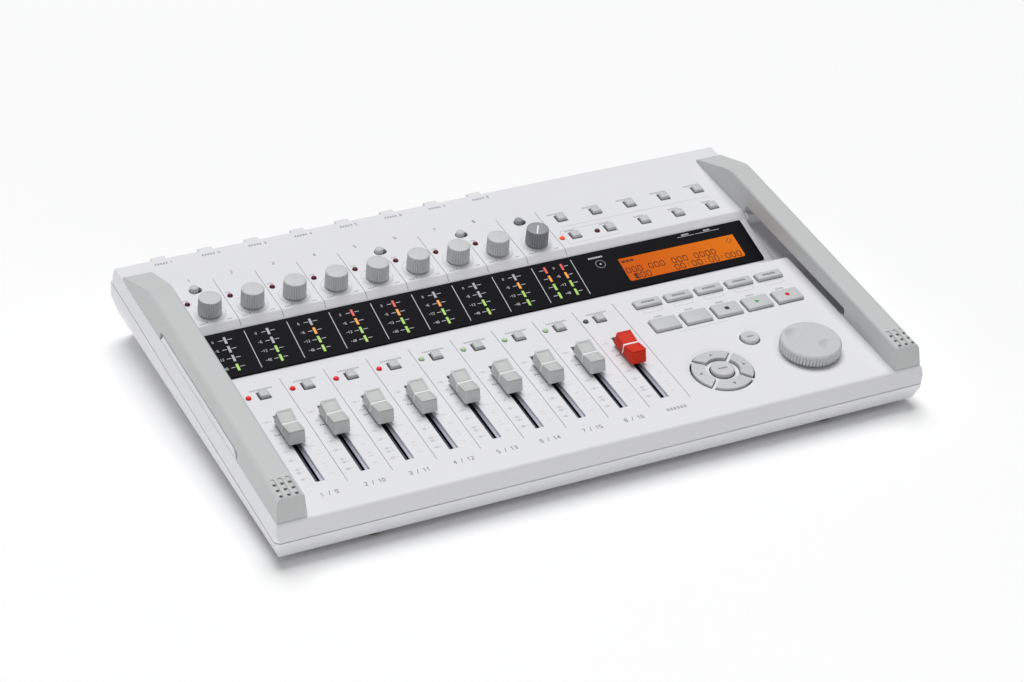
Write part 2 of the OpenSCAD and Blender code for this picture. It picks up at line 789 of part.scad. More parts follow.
// Openings in the rear wall
module rear_cuts() {
  for (i = [0 : channels - 1]) translate([input_x(i), 0, 0]) {
    translate([0, 0, input_z]) rod_y(barrel_r + key_fit, rear_y - 3 * wall, rear_y + cut);
    translate([-tab_w / 2 - key_fit, rear_y - tab_root - key_fit, tab_z[0] - key_fit])
      cube([tab_w + 2 * key_fit, 2 * tab_root, tab_z[1] - tab_z[0] + 2 * key_fit]);
  }
  for (x = concat([phones_x], output_xs))
    translate([x, 0, jack_z]) rod_y(nose_r + key_fit, rear_y - 3 * wall, rear_y + cut);
  translate([inlet_x, 0, inlet_z]) rod_y(inlet_r + wall / 2 + key_fit, rear_y - 3 * wall, rear_y + cut);
  translate([power_x, rear_y, power_z])
    cube([power_travel + power_nub[0] + 2 * slide_fit, 4 * wall, power_nub[1] + 2 * slide_fit],
         center = true);
}

// Upper case
module top_case() {
  color(white) difference() {
    union() {
      on_panel() {
        difference() {
          upper_block(0, split_z);
          upper_block(wall, split_z - cut);
        }
        grip_rims();
        valley_tub();
        intersection() {
          scoop(wall, panel_z - wall / 2);
          upper_block(0, -hull_depth);
        }
        board_posts(control_posts, control_board_z);
        board_posts(knob_posts, knob_board_z);
      }
      intersection() {
        columns(boss_r, boss_seat_z, case_d);
        on_panel() upper_block(wall / 2, -hull_depth);
      }
    }
    on_panel() {
      valley_cut();
      scoop(0, panel_z + cut);
      panel_cuts();
    }
    on_strip() {
      block([window_w + 2 * key_fit, strip_len + 2 * key_fit, 2 * window_t], -window_t);
      block([window_w - 2 * window_rim, strip_len - window_rim, 6 * wall], -5 * wall);
    }
    columns(screw_r + snug_fit, boss_seat_z - cut, boss_seat_z + screw_len - screw_bite() + 0.6);
    rear_cuts();
    split_groove();
  }
}

function screw_bite() = boss_seat_z - foot_h - counterbore;

// Lower case
module bottom_case() {
  color(white) difference() {
    union() {
      difference() {
        lower_block(0, split_z);
        lower_block(wall, split_z + cut);
      }
      intersection() {
        union() {
          columns(post_r, foot_h, boss_seat_z);
          bay_walls();
          volume_cup();
          main_board_posts();
          for (x = [-1, 1]) for (y = [foot_front_y, foot_rear_y])
            translate([x * foot_x, y, foot_h]) cylinder(r = foot_r + wall / 2, h = wall + foot_seat);
        }
        lower_block(0, split_z);
      }
      port_post_pair();
    }
    columns(screw_r + key_fit, foot_h - cut, boss_seat_z + cut);
    columns(screw_head_r + key_fit, foot_h - cut, foot_h + counterbore);
    for (x = [-1, 1]) for (y = [foot_front_y, foot_rear_y])
      translate([x * foot_x, y, foot_h - cut]) cylinder(r = foot_r + snug_fit, h = foot_seat + cut);
    translate([0, bay_y + bay_d / 2, 0]) block([bay_w, bay_d, bay_h], floor_z - cut);
    door_hole();
    rear_cuts();
    translate([volume_x, 0, jack_z]) {
      rod_y(volume_well_r, rear_y - volume_well_depth, rear_y + cut);
      rod_y(shaft_r + shaft_hole_fit, rear_y - 3 * volume_well_depth, rear_y);
    }
    on_panel() port_cuts();
    split_groove();
  }
}

module bay_walls() {
  size = [bay_w + 2 * bay_wall, bay_d + 2 * bay_wall, bay_h - wall + bay_wall + cut];
  translate([0, bay_y + bay_d / 2, 0]) block(size, floor_z - cut);
  translate([0, door_y + door_d / 2, 0])
    block([door_w + 2 * bay_wall, door_d + 2 * bay_wall, wall + bay_wall], foot_h);
}

module door_hole() {
  translate([0, door_y + door_d / 2, 0])
    block([door_w + 2 * door_gap, door_d + 2 * door_gap, door_t + door_gap + cut], foot_h - cut);
  translate([0, door_y, 0]) block([door_notch_w, 8, door_t + door_gap + cut], foot_h - cut);
  translate([0, door_axis[0], door_axis[1]]) rotate([0, 90, 0])
    cylinder(r = door_pin_r + run_fit, h = door_w + 2 * (door_pin_len + door_gap), center = true);
}

module volume_cup() {
  translate([volume_x, 0, jack_z])
    rod_y(volume_well_r + wall / 2, rear_y - volume_well_depth - wall / 2, rear_y);
}

module main_board_posts() {
  for (x = [-1, 1]) for (y = [main_board_front + 4, rear_y - wall - 6])
    translate([x * (half_w - main_post_margin), y, foot_h]) cylinder(r = 3, h = main_board_z - foot_h);
}

module port_post_pair() {
  difference() {
    intersection() {
      lower_block(0, split_z);
      for (y = port_posts) translate([port_face_x - port_depth + 2, y, foot_h]) cylinder(r = 3, h = case_d);
    }
    on_panel() block([2 * case_w, 2 * case_d, hull_depth], port_board_z);
  }
}

module port_cuts() {
  for (p = [[usb_a, usb_a_y], [usb_b, usb_b_y]])
    translate([port_face_x, p[1], port_board_z + port_board_t + p[0][1] / 2])
      cube([4 * taper, p[0][0] + 2 * port_shell + 2 * key_fit, p[0][1] + 2 * port_shell + 2 * key_fit],
           center = true);
  translate([port_face_x, card_y, port_board_z + port_board_t + card_slot[1] / 2 + port_shell])
    cube([4 * taper, card_slot[0] + key_fit, card_slot[1] + key_fit], center = true);
}

// Handles, in the panel's frame, with the right one drawn and the left one its mirror image
module on_handle_top() {
  y_from = handle_front_y + handle_front_ramp;
  y_to = handle_rear_y - handle_rear_ramp;
  slope = atan((handle_h - handle_front_h) / (y_to - y_from));
  translate([0, y_from, panel_z + handle_front_h]) rotate([slope, 0, 0]) children();
}

module handle() {
  base = panel_z;
  x_inner = half_w - handle_inset - handle_w;
  x_outer = half_w - handle_inset;
  y_front = handle_front_y;
  y_rear = handle_rear_y;
  color(grey) on_panel() difference() {
    union() {
      difference() {
        intersection() {
          translate([handle_x, 0, 0]) prism_x(2 * handle_w) polygon(rounded(
            [[y_front, base], [y_front, base + 1.5], [y_front + handle_front_ramp, base + handle_front_h],
             [y_rear - handle_rear_ramp, base + handle_h], [y_rear, base + 1.4], [y_rear, base]],
            [0, 0.8, 3.5, 45, 0, 0], handle_steps));
          on_handle_top() translate([0, 0, 0.02]) prism_y(3 * case_d) polygon(rounded(
            [[x_inner, -2 * handle_h], [x_outer, -2 * handle_h], [x_outer, -handle_h], [x_outer - 1.4, 0],
             [x_inner + 1, 0], [x_inner, -handle_h]],
            [0, 0, 0, 4, 2, 0], handle_steps));
        }
        translate([handle_x, 0, 0]) prism_x(2 * handle_w) polygon(rounded(
          [[grip_front_y, base - cut], [grip_rear_y, base - cut],
           [grip_rear_y, base + grip_gap], [grip_front_y, base + grip_gap]],
          [0, 0, 2.5, 2.5]));
      }
      for (y = [-1, 1]) translate([handle_x, y * handle_screw_y, under_z])
        cylinder(r = handle_boss_r, h = wall + cut);
    }
    for (y = [-1, 1]) translate([handle_x, y * handle_screw_y, under_z - cut])
      cylinder(r = handle_screw_r + snug_fit, h = handle_screw_len + cut + 0.5);
    translate([capsule_x, capsule_y, base - cut])
      cylinder(r = capsule_r + key_fit, h = capsule_z + capsule_h + cut);
    translate([capsule_x, capsule_y, 0])
      block([2 * (grille_pitch_x + grille_r), 2 * (grille_pitch_y + grille_r), grille_room],
            base + capsule_z + capsule_h);
    for (i = [-1 : 1]) translate([capsule_x + i * grille_pitch_x, capsule_y, 0]) {
      for (j = [-1 : 1]) translate([0, j * grille_pitch_y, base + capsule_z + capsule_h])
        cylinder(r = grille_r, h = handle_h, $fn = 24);
    }
    on_handle_top() for (i = [-1 : 1])
      translate([capsule_x + i * grille_pitch_x, capsule_y - y_front - handle_front_ramp, -groove_dip])
        linear_extrude(handle_h) rotate(90) long_hole(grille_groove, grille_groove_r);
  }
}

module right_handle() {
  handle();
}

module left_handle() {
  mirror([1, 0, 0]) handle();
}

module mic_capsules() {
  color(black) on_panel() for (side = [-1, 1])
    translate([side * capsule_x, capsule_y, panel_z + capsule_z])
      cylinder(r = capsule_r, h = capsule_h);
}

// Display
module display_window() {
  color(black) on_strip() difference() {
    translate([0, 0, -window_t]) linear_extrude(window_t) rounded_rect(window_w, strip_len, 0.8);
    translate([lcd_x, lcd_s, 0]) block([lcd_w, lcd_d, 4 * window_t], -2 * window_t);
    for (x = meter_columns()) for (k = [0 : bars - 1])
      translate([x, bar_place(k), 0])
        block([bar_w + key_fit, bar_d + key_fit, 4 * window_t], -2 * window_t);
    translate([access_x, access_s, -2 * window_t]) cylinder(r = lamp_r + key_fit / 2, h = 4 * window_t);
  }
}

module display_module() {
  color(orange) on_strip() {
    block([window_w - window_rim, strip_len - window_rim / 2, strip_board_t], strip_board_n - strip_board_t);
    translate([lcd_x, lcd_s, 0])
      block([lcd_w - key_fit, lcd_d - key_fit, -strip_board_n - key_fit], strip_board_n);
  }
}

module leds() {
  color(red) {
    on_strip() {
      for (x = meter_columns()) for (k = [0 : bars - 1])
        translate([x, bar_place(k), 0]) block([bar_w, bar_d, -strip_board_n], strip_board_n);
      translate([access_x, access_s, strip_board_n]) cylinder(r = lamp_r, h = -strip_board_n);
    }
    on_panel() {
      for (p = track_lamps()) lamp(p, control_board_z);
      for (p = concat(peak_lamps(), status_lamps)) lamp(p, knob_board_z);
    }
  }
}

module lamp(place, z) {
  translate([place[0], place[1], z]) cylinder(r = lamp_r, h = panel_z + lamp_stand - z);
}

// Boards
module control_board() {
  depth = control_board_rear - control_board_front;
  color(board_green) difference() {
    on_panel() translate([0, (control_board_front + control_board_rear) / 2, 0])
      block([2 * board_half_w, depth, board_t], control_board_z - board_t);
    columns(boss_r + slide_fit, 0, case_d);
  }
}

module knob_board() {
  depth = knob_board_rear - knob_board_front;
  color(board_green) difference() {
    on_panel() translate([0, (knob_board_front + knob_board_rear) / 2, 0])
      block([2 * board_half_w, depth, board_t], knob_board_z - board_t);
    columns(boss_r + slide_fit, 0, case_d);
  }
}

module main_board() {
  color(board_green) translate([0, main_board_front + main_board_d / 2, 0])
    block([2 * board_half_w, main_board_d, board_t], main_board_z);
}

// Faders
module fader_units() {
  length = unit_rear_y - unit_front_y;
  height = under_z - unit_gap - control_board_z;
  color(steel) on_panel() for (i = [0 : track_count - 1])
    translate([channel_x(i), (unit_front_y + unit_rear_y) / 2, 0]) difference() {
      block([unit_w, length, height], control_board_z);
      block([unit_w - 2 * unit_sheet, length - 2 * unit_sheet, height - 2 * unit_sheet],
            control_board_z + unit_sheet);
      block([lever_t + 2 * slide_fit, length - 2 * unit_sheet, height], control_board_z + unit_sheet);
    }
}

module fader(i) {
  top = panel_z + cap_h;
  low = panel_z + cap_gap;
  end = cap_d / 2;
  carriage_z = control_board_z + unit_sheet + slide_fit;
  carriage_h = under_z - unit_gap - unit_sheet - slide_fit - carriage_z;
  on_panel() translate([channel_x(i), fader_y, 0]) {
    intersection() {
      prism_x(2 * cap_w) polygon(rounded(
        [[-end, low], [end, low], [end - 0.4, low + 2], [end - cap_lean, top], [0, panel_z + saddle_h],
         [-end + cap_lean, top], [-end + 0.4, low + 2]],
        [0, 0, 0.8, 1, 1.5, 1, 0.8], 4));
      prism_y(2 * cap_d) polygon(rounded(
        [[-cap_w / 2, low], [cap_w / 2, low], [cap_w / 2 - cap_side_lean, top],
         [-cap_w / 2 + cap_side_lean, top]],
        [0, 0, 0.8, 0.8], 4));
    }
    block([lever_t, lever_d, low + 1 - carriage_z], carriage_z);
    block([carriage_w, carriage_d, carriage_h], carriage_z);
  }
}

// Knobs and dial
module rotary_pots() {
  color(steel) {
    on_panel() {
      for (i = [0 : track_count - 1]) translate([knob_x(i), knob_y, 0])
        pot(knob_board_z, under_z - pot_top_gap);
      translate([dial_place[0], dial_place[1], 0]) pot(control_board_z, under_z - pot_top_gap);
    }
    translate([volume_x, rear_y - volume_well_depth - wall / 2 - pot_top_gap, jack_z]) difference() {
      translate([-jack_body[0] / 2, -10, -jack_body[2] / 2]) cube([jack_body[0], 10, jack_body[2]]);
      rod_y(shaft_r + run_fit, -pot_bore, cut);
    }
  }
}

module pot(z_from, z_to) {
  difference() {
    block([pot_w, pot_d, z_to - z_from], z_from);
    translate([0, 0, z_to - pot_bore]) cylinder(r = shaft_r + run_fit, h = pot_bore + cut);
  }
}

module knob(i, shade) {
  base = panel_z + knob_gap;
  top = panel_z + knob_h;
  shaft_low = under_z - pot_top_gap - pot_bore + slide_fit;
  color(shade) on_panel() translate([knob_x(i), knob_y, 0]) difference() {
    union() {
      rotate_extrude() polygon([[0, base], [knob_r, base], [knob_r - 0.3, top - 0.5], [knob_r - 0.7, top],
                                [0, top]]);
      translate([0, 0, shaft_low]) cylinder(r = shaft_r, h = base + 1 - shaft_low);
    }
    rotate([0, 0, knob_turn]) translate([-pointer[0] / 2, -pointer_back, top - pointer[2]])
      cube([pointer[0], pointer[1], 2 * pointer[2]]);
  }
}

module jog_dial() {
  base = panel_z + knob_gap;
  top = panel_z + dial_h;
  shaft_low = under_z - pot_top_gap - pot_bore + slide_fit;
  dip = (pow(dimple_r, 2) + pow(dimple_depth, 2)) / (2 * dimple_depth);
  color(grey) on_panel() translate([dial_place[0], dial_place[1], 0]) difference() {
    union() {
      rotate_extrude($fn = 96) polygon([[0, base], [dial_r, base], [dial_r, top - 1.2], [dial_r - 1.2, top],
                                        [0, top]]);
      translate([0, 0, shaft_low]) cylinder(r = shaft_r, h = base + 1 - shaft_low);
    }
    for (turn = [0, 180]) rotate([0, 0, dimple_angle + turn])
      translate([dimple_reach, 0, top + dip - dimple_depth]) sphere(dip, $fn = 96);
  }
}

// Keys, each with a flange under the panel and a plunger over its switch
module key(w, d) {
  low = under_z - flange_gap - flange_t;
  intersection() {
    prism_x(w) polygon(bevelled(d, low, panel_z + key_h, key_bevel));
    prism_y(d) polygon(bevelled(w, low, panel_z + key_h, key_bevel));
  }
  block([w + 2 * flange_out, d + 2 * flange_out, flange_t], low);
  plunger(low);
}

module plunger(low) {
  translate([0, 0, low - plunger_len]) cylinder(r = plunger_r, h = plunger_len + 0.1);
}

module round_key(r) {
  low = under_z - flange_gap - flange_t;
  high = panel_z + key_h;
  rotate_extrude() polygon([[0, low], [r + flange_out, low], [r + flange_out, low + flange_t],
                            [r, low + flange_t], [r, high - key_bevel], [r - key_bevel, high], [0, high]]);
  plunger(low);
}

module cursor_key(turn) {
  low = under_z - flange_gap - flange_t;
  color(grey) on_panel() translate([pad_place[0], pad_place[1], 0]) rotate([0, 0, turn]) {
    translate([0, 0, low]) linear_extrude(panel_z + key_h - low) ring_sector(0);
    translate([0, 0, low]) linear_extrude(flange_t) ring_sector(flange_out / 1.5);
    translate([ring_mid_r, 0, 0]) plunger(low);
  }
}

module transport_key(j) {
  color(grey) on_panel() translate([transport_key_x(j), transport_y, 0])
    key(transport_w, transport_d);
}

module track_keys() {
  color(grey) on_panel() for (i = [0 : track_count - 1])
    translate([channel_x(i), track_y, 0]) key(small_key, small_key);
}

module menu_keys(y) {
  color(grey) on_panel() for (j = [0 : menu_count - 1])
    translate([menu_key_x(j), y, 0]) key(small_key, small_key);
}

module marker_keys() {
  color(grey) on_panel() for (j = [0 : transport_count - 1])
    translate([transport_key_x(j), marker_y, 0]) key(transport_w, marker_d);
}

module enter_key() {
  color(grey) on_panel() translate([pad_place[0], pad_place[1], 0]) round_key(enter_r);
}

module exit_key() {
  color(grey) on_panel() translate([exit_place[0], exit_place[1], 0]) round_key(exit_r);
}

// Switch bodies on the boards and behind the rear wall
module switch_units() {
  ring_tacts = [for (turn = [0 : 90 : 270]) pad_place + ring_mid_r * [cos(turn), sin(turn)]];
  control = concat(
    [for (i = [0 : track_count - 1]) [channel_x(i), track_y]],
    [for (j = [0 : transport_count - 1]) [transport_key_x(j), transport_y]],
    [for (j = [0 : transport_count - 1]) [transport_key_x(j), marker_y]],
    ring_tacts, [pad_place, exit_place]);
  menu = concat([for (j = [0 : menu_count - 1]) [menu_key_x(j), menu_upper_y]],
                [for (j = [0 : menu_count - 1]) [menu_key_x(j), menu_lower_y]]);
  color(steel) {
    on_panel() {
      for (p = control) tact(p, control_board_z);
      for (p = menu) tact(p, knob_board_z);
      for (p = switch_places) translate([p[0], p[1], 0]) slide_body();
    }
    translate([power_x, rear_y - wall - power_plate[1] - 2 * slide_fit, power_z])
      translate([-power_body[0] / 2, -power_body[1], -power_body[2] / 2]) cube(power_body);
  }
}

module tact(place, z) {
  translate([place[0], place[1], 0]) block([tact_w, tact_w, tact_top_z - z], z);
}

slide_plate_z = under_z - flange_gap - switch_plate[2];

module slide_body() {
  high = slide_plate_z - 2 * flange_gap;
  slot = [nub_travel + switch_stem + 2 * slide_fit, switch_stem + 2 * slide_fit, high];
  difference() {
    block([switch_body[0], switch_body[1], high - knob_board_z], knob_board_z);
    block(slot, high - switch_stem_len - slide_fit);
  }
}

module slide_switch(i) {
  color(i == 3 ? dark_grey : grey) on_panel()
    translate([switch_places[i][0] - nub_travel / 2, switch_places[i][1], 0]) {
      translate([0, 0, slide_plate_z]) cylinder(r = nub_r, h = panel_z + nub_h - slide_plate_z);
      block(switch_plate, slide_plate_z);
      block([switch_stem, switch_stem, switch_stem_len + 2 * flange_gap + 0.1],
            slide_plate_z - switch_stem_len - 2 * flange_gap);
    }
}

// Rear jacks
module combo_jacks() {
  color(black) for (i = [0 : channels - 1]) translate([input_x(i), 0, 0]) input_jack();
}

module input_jack() {
  face = rear_y + 0.4;
  difference() {
    union() {
      translate([-input_body[0] / 2, jack_face_y - input_body[1], main_board_top]) cube(input_body);
      translate([0, 0, input_z]) rod_y(barrel_r, jack_face_y - cut, face);
      translate([-tab_w / 2, rear_y - tab_root, tab_z[0]])
        cube([tab_w, tab_root + rear_reach, tab_z[1] - tab_z[0]]);
    }
    translate([0, 0, input_z]) {
      difference() {
        rod_y(shell_r, face - shell_depth, face + cut);
        rod_y(shell_r - shell_groove, face - 2 * shell_depth, face + 2 * cut);
      }
      rod_y(plug_r, face - plug_len, face + cut);
      for (turn = [90 : 120 : 330]) rotate([0, turn, 0]) translate([contact_ring, 0, 0])
        rod_y(contact_r, face - contact_depth, face + cut);
    }
  }
}

module jack_sockets() {
  color(black) for (x = concat([phones_x], output_xs)) translate([x, 0, jack_z]) difference() {
    union() {
      translate([-jack_body[0] / 2, jack_face_y - jack_body[1], -jack_body[2] / 2]) cube(jack_body);
      rod_y(nose_r, jack_face_y - cut, rear_y + rear_reach);
      translate([0, rear_y, 0]) rotate([-90, 0, 0]) cylinder(r = nut_r, h = rear_reach - 0.5, $fn = 6);
    }
    rod_y(plug_r, rear_y + rear_reach - plug_len, rear_y + rear_reach + cut);
  }
}

module port_sockets() {
  color(steel) {
    translate([inlet_x, 0, inlet_z]) inlet();
    on_panel() side_ports();
  }
}

module inlet() {
  difference() {
    union() {
      translate([-inlet_body[0] / 2, jack_face_y - inlet_body[1], -inlet_body[2] / 2]) cube(inlet_body);
      rod_y(inlet_r + wall / 2, jack_face_y - cut, rear_y);
    }
    rod_y(inlet_r, rear_y - 9.5, rear_y + cut);
  }
  rod_y(inlet_pin_r, rear_y - 10, rear_y - 0.5);
}

module side_ports() {
  length = port_board_y[1] - port_board_y[0];
  shelf = port_board_z + port_board_t;
  x_from = port_face_x - port_depth;
  translate([x_from - 2, port_board_y[0], port_board_z]) cube([port_depth, length, port_board_t]);
  for (p = [[usb_a, usb_a_y], [usb_b, usb_b_y]]) translate([x_from, p[1], shelf]) difference() {
    translate([0, -p[0][0] / 2 - port_shell, -0.1])
      cube([port_depth, p[0][0] + 2 * port_shell, p[0][1] + 2 * port_shell + 0.1]);
    translate([2, -p[0][0] / 2, port_shell]) cube([port_depth, p[0][0], p[0][1]]);
  }
  translate([x_from - 9, card_y, shelf]) difference() {
    translate([0, -card_slot[0] / 2 - 1.5, -0.1])
      cube([port_depth + 6, card_slot[0] + 3, card_slot[1] + 2 * port_shell + 0.1]);
    translate([2, -card_slot[0] / 2, port_shell]) cube([port_depth + 6, card_slot[0], card_slot[1]]);
  }
}

module phones_volume() {
  well = rear_y - volume_well_depth;
  color(dark_grey) translate([volume_x, 0, jack_z]) {
    difference() {
      rod_y(volume_r, well + knob_gap, well + volume_len);
      translate([-0.4, well + volume_len - 0.4, 0.8]) cube([0.8, 1, volume_r]);
    }
    rod_y(shaft_r, well - volume_shaft_len + knob_gap, well + knob_gap + 1);
  }
}

module power_switch() {
  plate_y = rear_y - wall - slide_fit - power_plate[1];
  color(black) translate([power_x - power_travel / 2, 0, power_z]) {
    translate([-power_plate[0] / 2, plate_y, -power_plate[2] / 2]) cube(power_plate);
    translate([-power_nub[0] / 2, plate_y, -power_nub[1] / 2])
      cube([power_nub[0], rear_y + power_nub_reach - plate_y, power_nub[1]]);
  }
}

// Underside
module battery_door() {
  color(white) {
    difference() {
      translate([0, door_y + (door_d - door_t / 2) / 2, 0])
        block([door_w, door_d - door_t / 2, door_t], foot_h);
      translate([0, door_y, 0]) block([door_notch_w / 2, 4, door_t], foot_h - door_t / 2);
    }
    translate([0, door_axis[0], door_axis[1]]) rotate([0, 90, 0]) {
      cylinder(r = door_t / 2, h = door_w, center = true);
      cylinder(r = door_pin_r, h = door_w + 2 * door_pin_len, center = true);
    }
  }
}

module rubber_feet() {
  color(black) for (x = [-1, 1]) for (y = [foot_front_y, foot_rear_y])
    translate([x * foot_x, y, 0]) rotate_extrude()
      polygon([[0, 0], [foot_r - 0.8, 0], [foot_r, 0.8], [foot_r, foot_h + foot_seat],
               [0, foot_h + foot_seat]]);
}

module case_screws() {
  head_z = foot_h + counterbore - screw_head_h;
  color(steel) {
    for (p = screw_places) translate([p[0], p[1], head_z]) {
      cylinder(r = screw_head_r, h = screw_head_h);
      cylinder(r = screw_r, h = screw_head_h + screw_len);
    }
    on_panel() for (side = [-1, 1]) for (y = [-1, 1])
      translate([side * handle_x, y * handle_screw_y, under_z - handle_screw_head[1]]) {
        cylinder(r = handle_screw_head[0] + handle_boss_r / 2, h = handle_screw_head[1]);
        cylinder(r = handle_screw_r, h = handle_screw_head[1] + handle_screw_len);
      }
  }
}

top_case();
bottom_case();
left_handle();
right_handle();
display_window();
display_module();
leds();
control_board();
knob_board();
main_board();
fader_units();
rotary_pots();
switch_units();
combo_jacks();
jack_sockets();
port_sockets();
mic_capsules();
rubber_feet();
case_screws();
for (i = [1 : channels]) color(grey) fader(i - 1);
color(red) fader(channels);  // master_fader
for (i = [1 : channels]) knob(i - 1, grey);
knob(channels, dark_grey);  // balance_knob
jog_dial();
transport_key(0);  // rewind_key
transport_key(1);  // forward_key
transport_key(2);  // stop_key
transport_key(3);  // play_key
transport_key(4);  // record_key
cursor_key(0);  // cursor_right
cursor_key(90);  // cursor_up
cursor_key(180);  // cursor_left
cursor_key(270);  // cursor_down
enter_key();
exit_key();
for (i = [1 : 4]) slide_switch(i - 1);
track_keys();
menu_keys(menu_upper_y);  // menu_keys_upper
menu_keys(menu_lower_y);  // menu_keys_lower
marker_keys();
power_switch();
phones_volume();
battery_door();
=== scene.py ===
"""Studio scene of a digital multitrack recorder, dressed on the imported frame.

Lengths are millimetres in the panel's frame, where X runs to the right, Y to the rear along the panel and Z
is square to it, and become metres in the row frame when a piece is made.
"""

import math

import bmesh
import bpy
from mathutils import Matrix, Vector


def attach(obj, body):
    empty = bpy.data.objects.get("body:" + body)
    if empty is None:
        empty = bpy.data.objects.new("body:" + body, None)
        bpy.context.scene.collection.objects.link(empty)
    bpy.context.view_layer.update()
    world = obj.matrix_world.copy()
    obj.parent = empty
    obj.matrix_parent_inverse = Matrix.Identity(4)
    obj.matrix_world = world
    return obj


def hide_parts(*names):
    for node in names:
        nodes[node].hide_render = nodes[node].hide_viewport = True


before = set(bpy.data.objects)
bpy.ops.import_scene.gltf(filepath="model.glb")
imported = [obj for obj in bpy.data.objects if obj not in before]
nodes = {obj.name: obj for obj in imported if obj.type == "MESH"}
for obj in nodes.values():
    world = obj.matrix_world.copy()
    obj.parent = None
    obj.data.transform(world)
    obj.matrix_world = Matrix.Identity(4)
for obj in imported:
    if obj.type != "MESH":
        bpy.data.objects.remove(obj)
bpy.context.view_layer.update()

# Panel and display strip, as the part sets them
MM = 0.001
TILT = math.radians(5.2)
STRIP_TILT = math.radians(13)
CASE_D = 237.0
SPLIT_Z = 11.3
PANEL_Z = 21.0
FRONT_GAP = 3.5
TAPER = 3.5
REAR_REACH = 2.5
CHANNELS = 8
SWITCHES = 4
# Margins for picking a node's vertices
PANEL_CLEAR = 0.2
WINDOW_EDGE = 0.6
LCD_FACE_DEPTH = 1.0
LCD_PAINT_DEPTH = 1.2
TINY = 0.01

half_d = CASE_D / 2
front_reach = half_d * math.cos(TILT) + SPLIT_Z * math.sin(TILT)
split_rear = half_d * math.cos(TILT) - SPLIT_Z * math.sin(TILT)
shift_y = (front_reach - split_rear - REAR_REACH) / 2
shift_z = FRONT_GAP + (half_d - TAPER) * math.sin(TILT)
PANEL = Matrix.Translation((0, shift_y, shift_z)) @ Matrix.Rotation(TILT, 4, "X")


# Places read from the frame

def points_in(matrix, node):
    """A CAD node's vertices in millimetres, in the frame of that matrix."""
    inverse = matrix.inverted()
    return [inverse @ (vertex.co / MM) for vertex in nodes[node].data.vertices]


def span(points):
    """Lowest and highest corner of some points."""
    low = Vector([min(p[k] for p in points) for k in range(3)])
    high = Vector([max(p[k] for p in points) for k in range(3)])
    return low, high


def islands(node):
    """The spans of a node's separate pieces, from left to right."""
    mesh = nodes[node].data
    points = points_in(PANEL, node)
    keys = [tuple(round(value, 3) for value in point) for point in points]
    leader = {}
    for key in keys:
        leader.setdefault(key, len(leader))
    place = [leader[key] for key in keys]
    group = list(range(len(leader)))

    def root(k):
        while group[k] != k:
            k = group[k]
        return k

    for edge in mesh.edges:
        a, b = (root(place[k]) for k in edge.vertices)
        group[max(a, b)] = min(a, b)
    found = {}
    for k, point in enumerate(points):
        found.setdefault(root(place[k]), []).append(point)
    return sorted((span(piece_points) for piece_points in found.values()), key=lambda ends: ends[0].x)


def above_panel(node):
    """The span of what stands above the panel."""
    return span([p for p in points_in(PANEL, node) if p.z > PANEL_Z + PANEL_CLEAR])


def middle(node):
    """Middle of what stands above the panel."""
    low, high = above_panel(node)
    return (low + high) / 2


fader_nodes = ["fader_%d" % (i + 1) for i in range(CHANNELS)] + ["master_fader"]
knob_nodes = ["gain_knob_%d" % (i + 1) for i in range(CHANNELS)] + ["balance_knob"]
switch_nodes = ["slide_switch_%d" % (i + 1) for i in range(SWITCHES)]
TRANSPORT_NODES = ("rewind_key", "forward_key", "stop_key", "play_key", "record_key")
CURSOR_NODES = ("cursor_right", "cursor_up", "cursor_left", "cursor_down")
channel_xs = [middle(name).x for name in fader_nodes]
knob_places = [middle(name) for name in knob_nodes]
half_pitch = (channel_xs[1] - channel_xs[0]) / 2

window_points = points_in(PANEL, "display_window")
window_low, window_high = span(window_points)
front_edge_z = max(p.z for p in window_points if p.y < window_low.y + WINDOW_EDGE)
rear_edge_z = window_high.z
strip_mid = Vector((0, (window_low.y + window_high.y) / 2, (front_edge_z + rear_edge_z) / 2))
STRIP = PANEL @ Matrix.Translation(strip_mid) @ Matrix.Rotation(STRIP_TILT, 4, "X")
lcd_low, lcd_high = span([p for p in points_in(STRIP, "display_module") if p.z > -LCD_FACE_DEPTH])


# Materials

def tone(red, green, blue):
    """A colour as seen on screen, turned into the renderer's linear values."""
    def linear(value):
        share = value / 255
        return share / 12.92 if share <= 0.04045 else ((share + 0.055) / 1.055) ** 2.4
    return linear(red), linear(green), linear(blue), 1.0


def scaled(colour, factor):
    """The same hue, lighter or darker."""
    return tuple(min(value * factor, 1.0) for value in colour[:3]) + (1.0,)


# Noise scales per metre, how far each noise moves a value, and the display's light
CLOUD_SCALE = 9.0
ROUGH_SCALE = 60.0
ROUGH_SPREAD = 0.05
GRAIN_DETAIL = 3.0
GRAIN_DEPTH = 0.00005
BEVEL_SAMPLES = 6
LENS_SCALE = 2500.0
LENS_SHADES = (0.8, 1.15)
INK_SCALE = 4000.0
INK_SHADES = (0.92, 1.08)
PLATE_SCALE = 300.0
PLATE_SHADES = (0.85, 1.1)
BRUSH_SCALE = 900.0
BRUSH_SPREAD = 0.08
SHEEN_SCALE = 200.0
LCD_BASE = 0.3
LCD_GLOW = 0.7
LCD_ROUGH = (0.3, 0.45)
LIP_ROUGH = (0.6, 0.8)


def shades(colour, pair):
    """A darker and a lighter shade of a colour."""
    return scaled(colour, pair[0]), scaled(colour, pair[1])


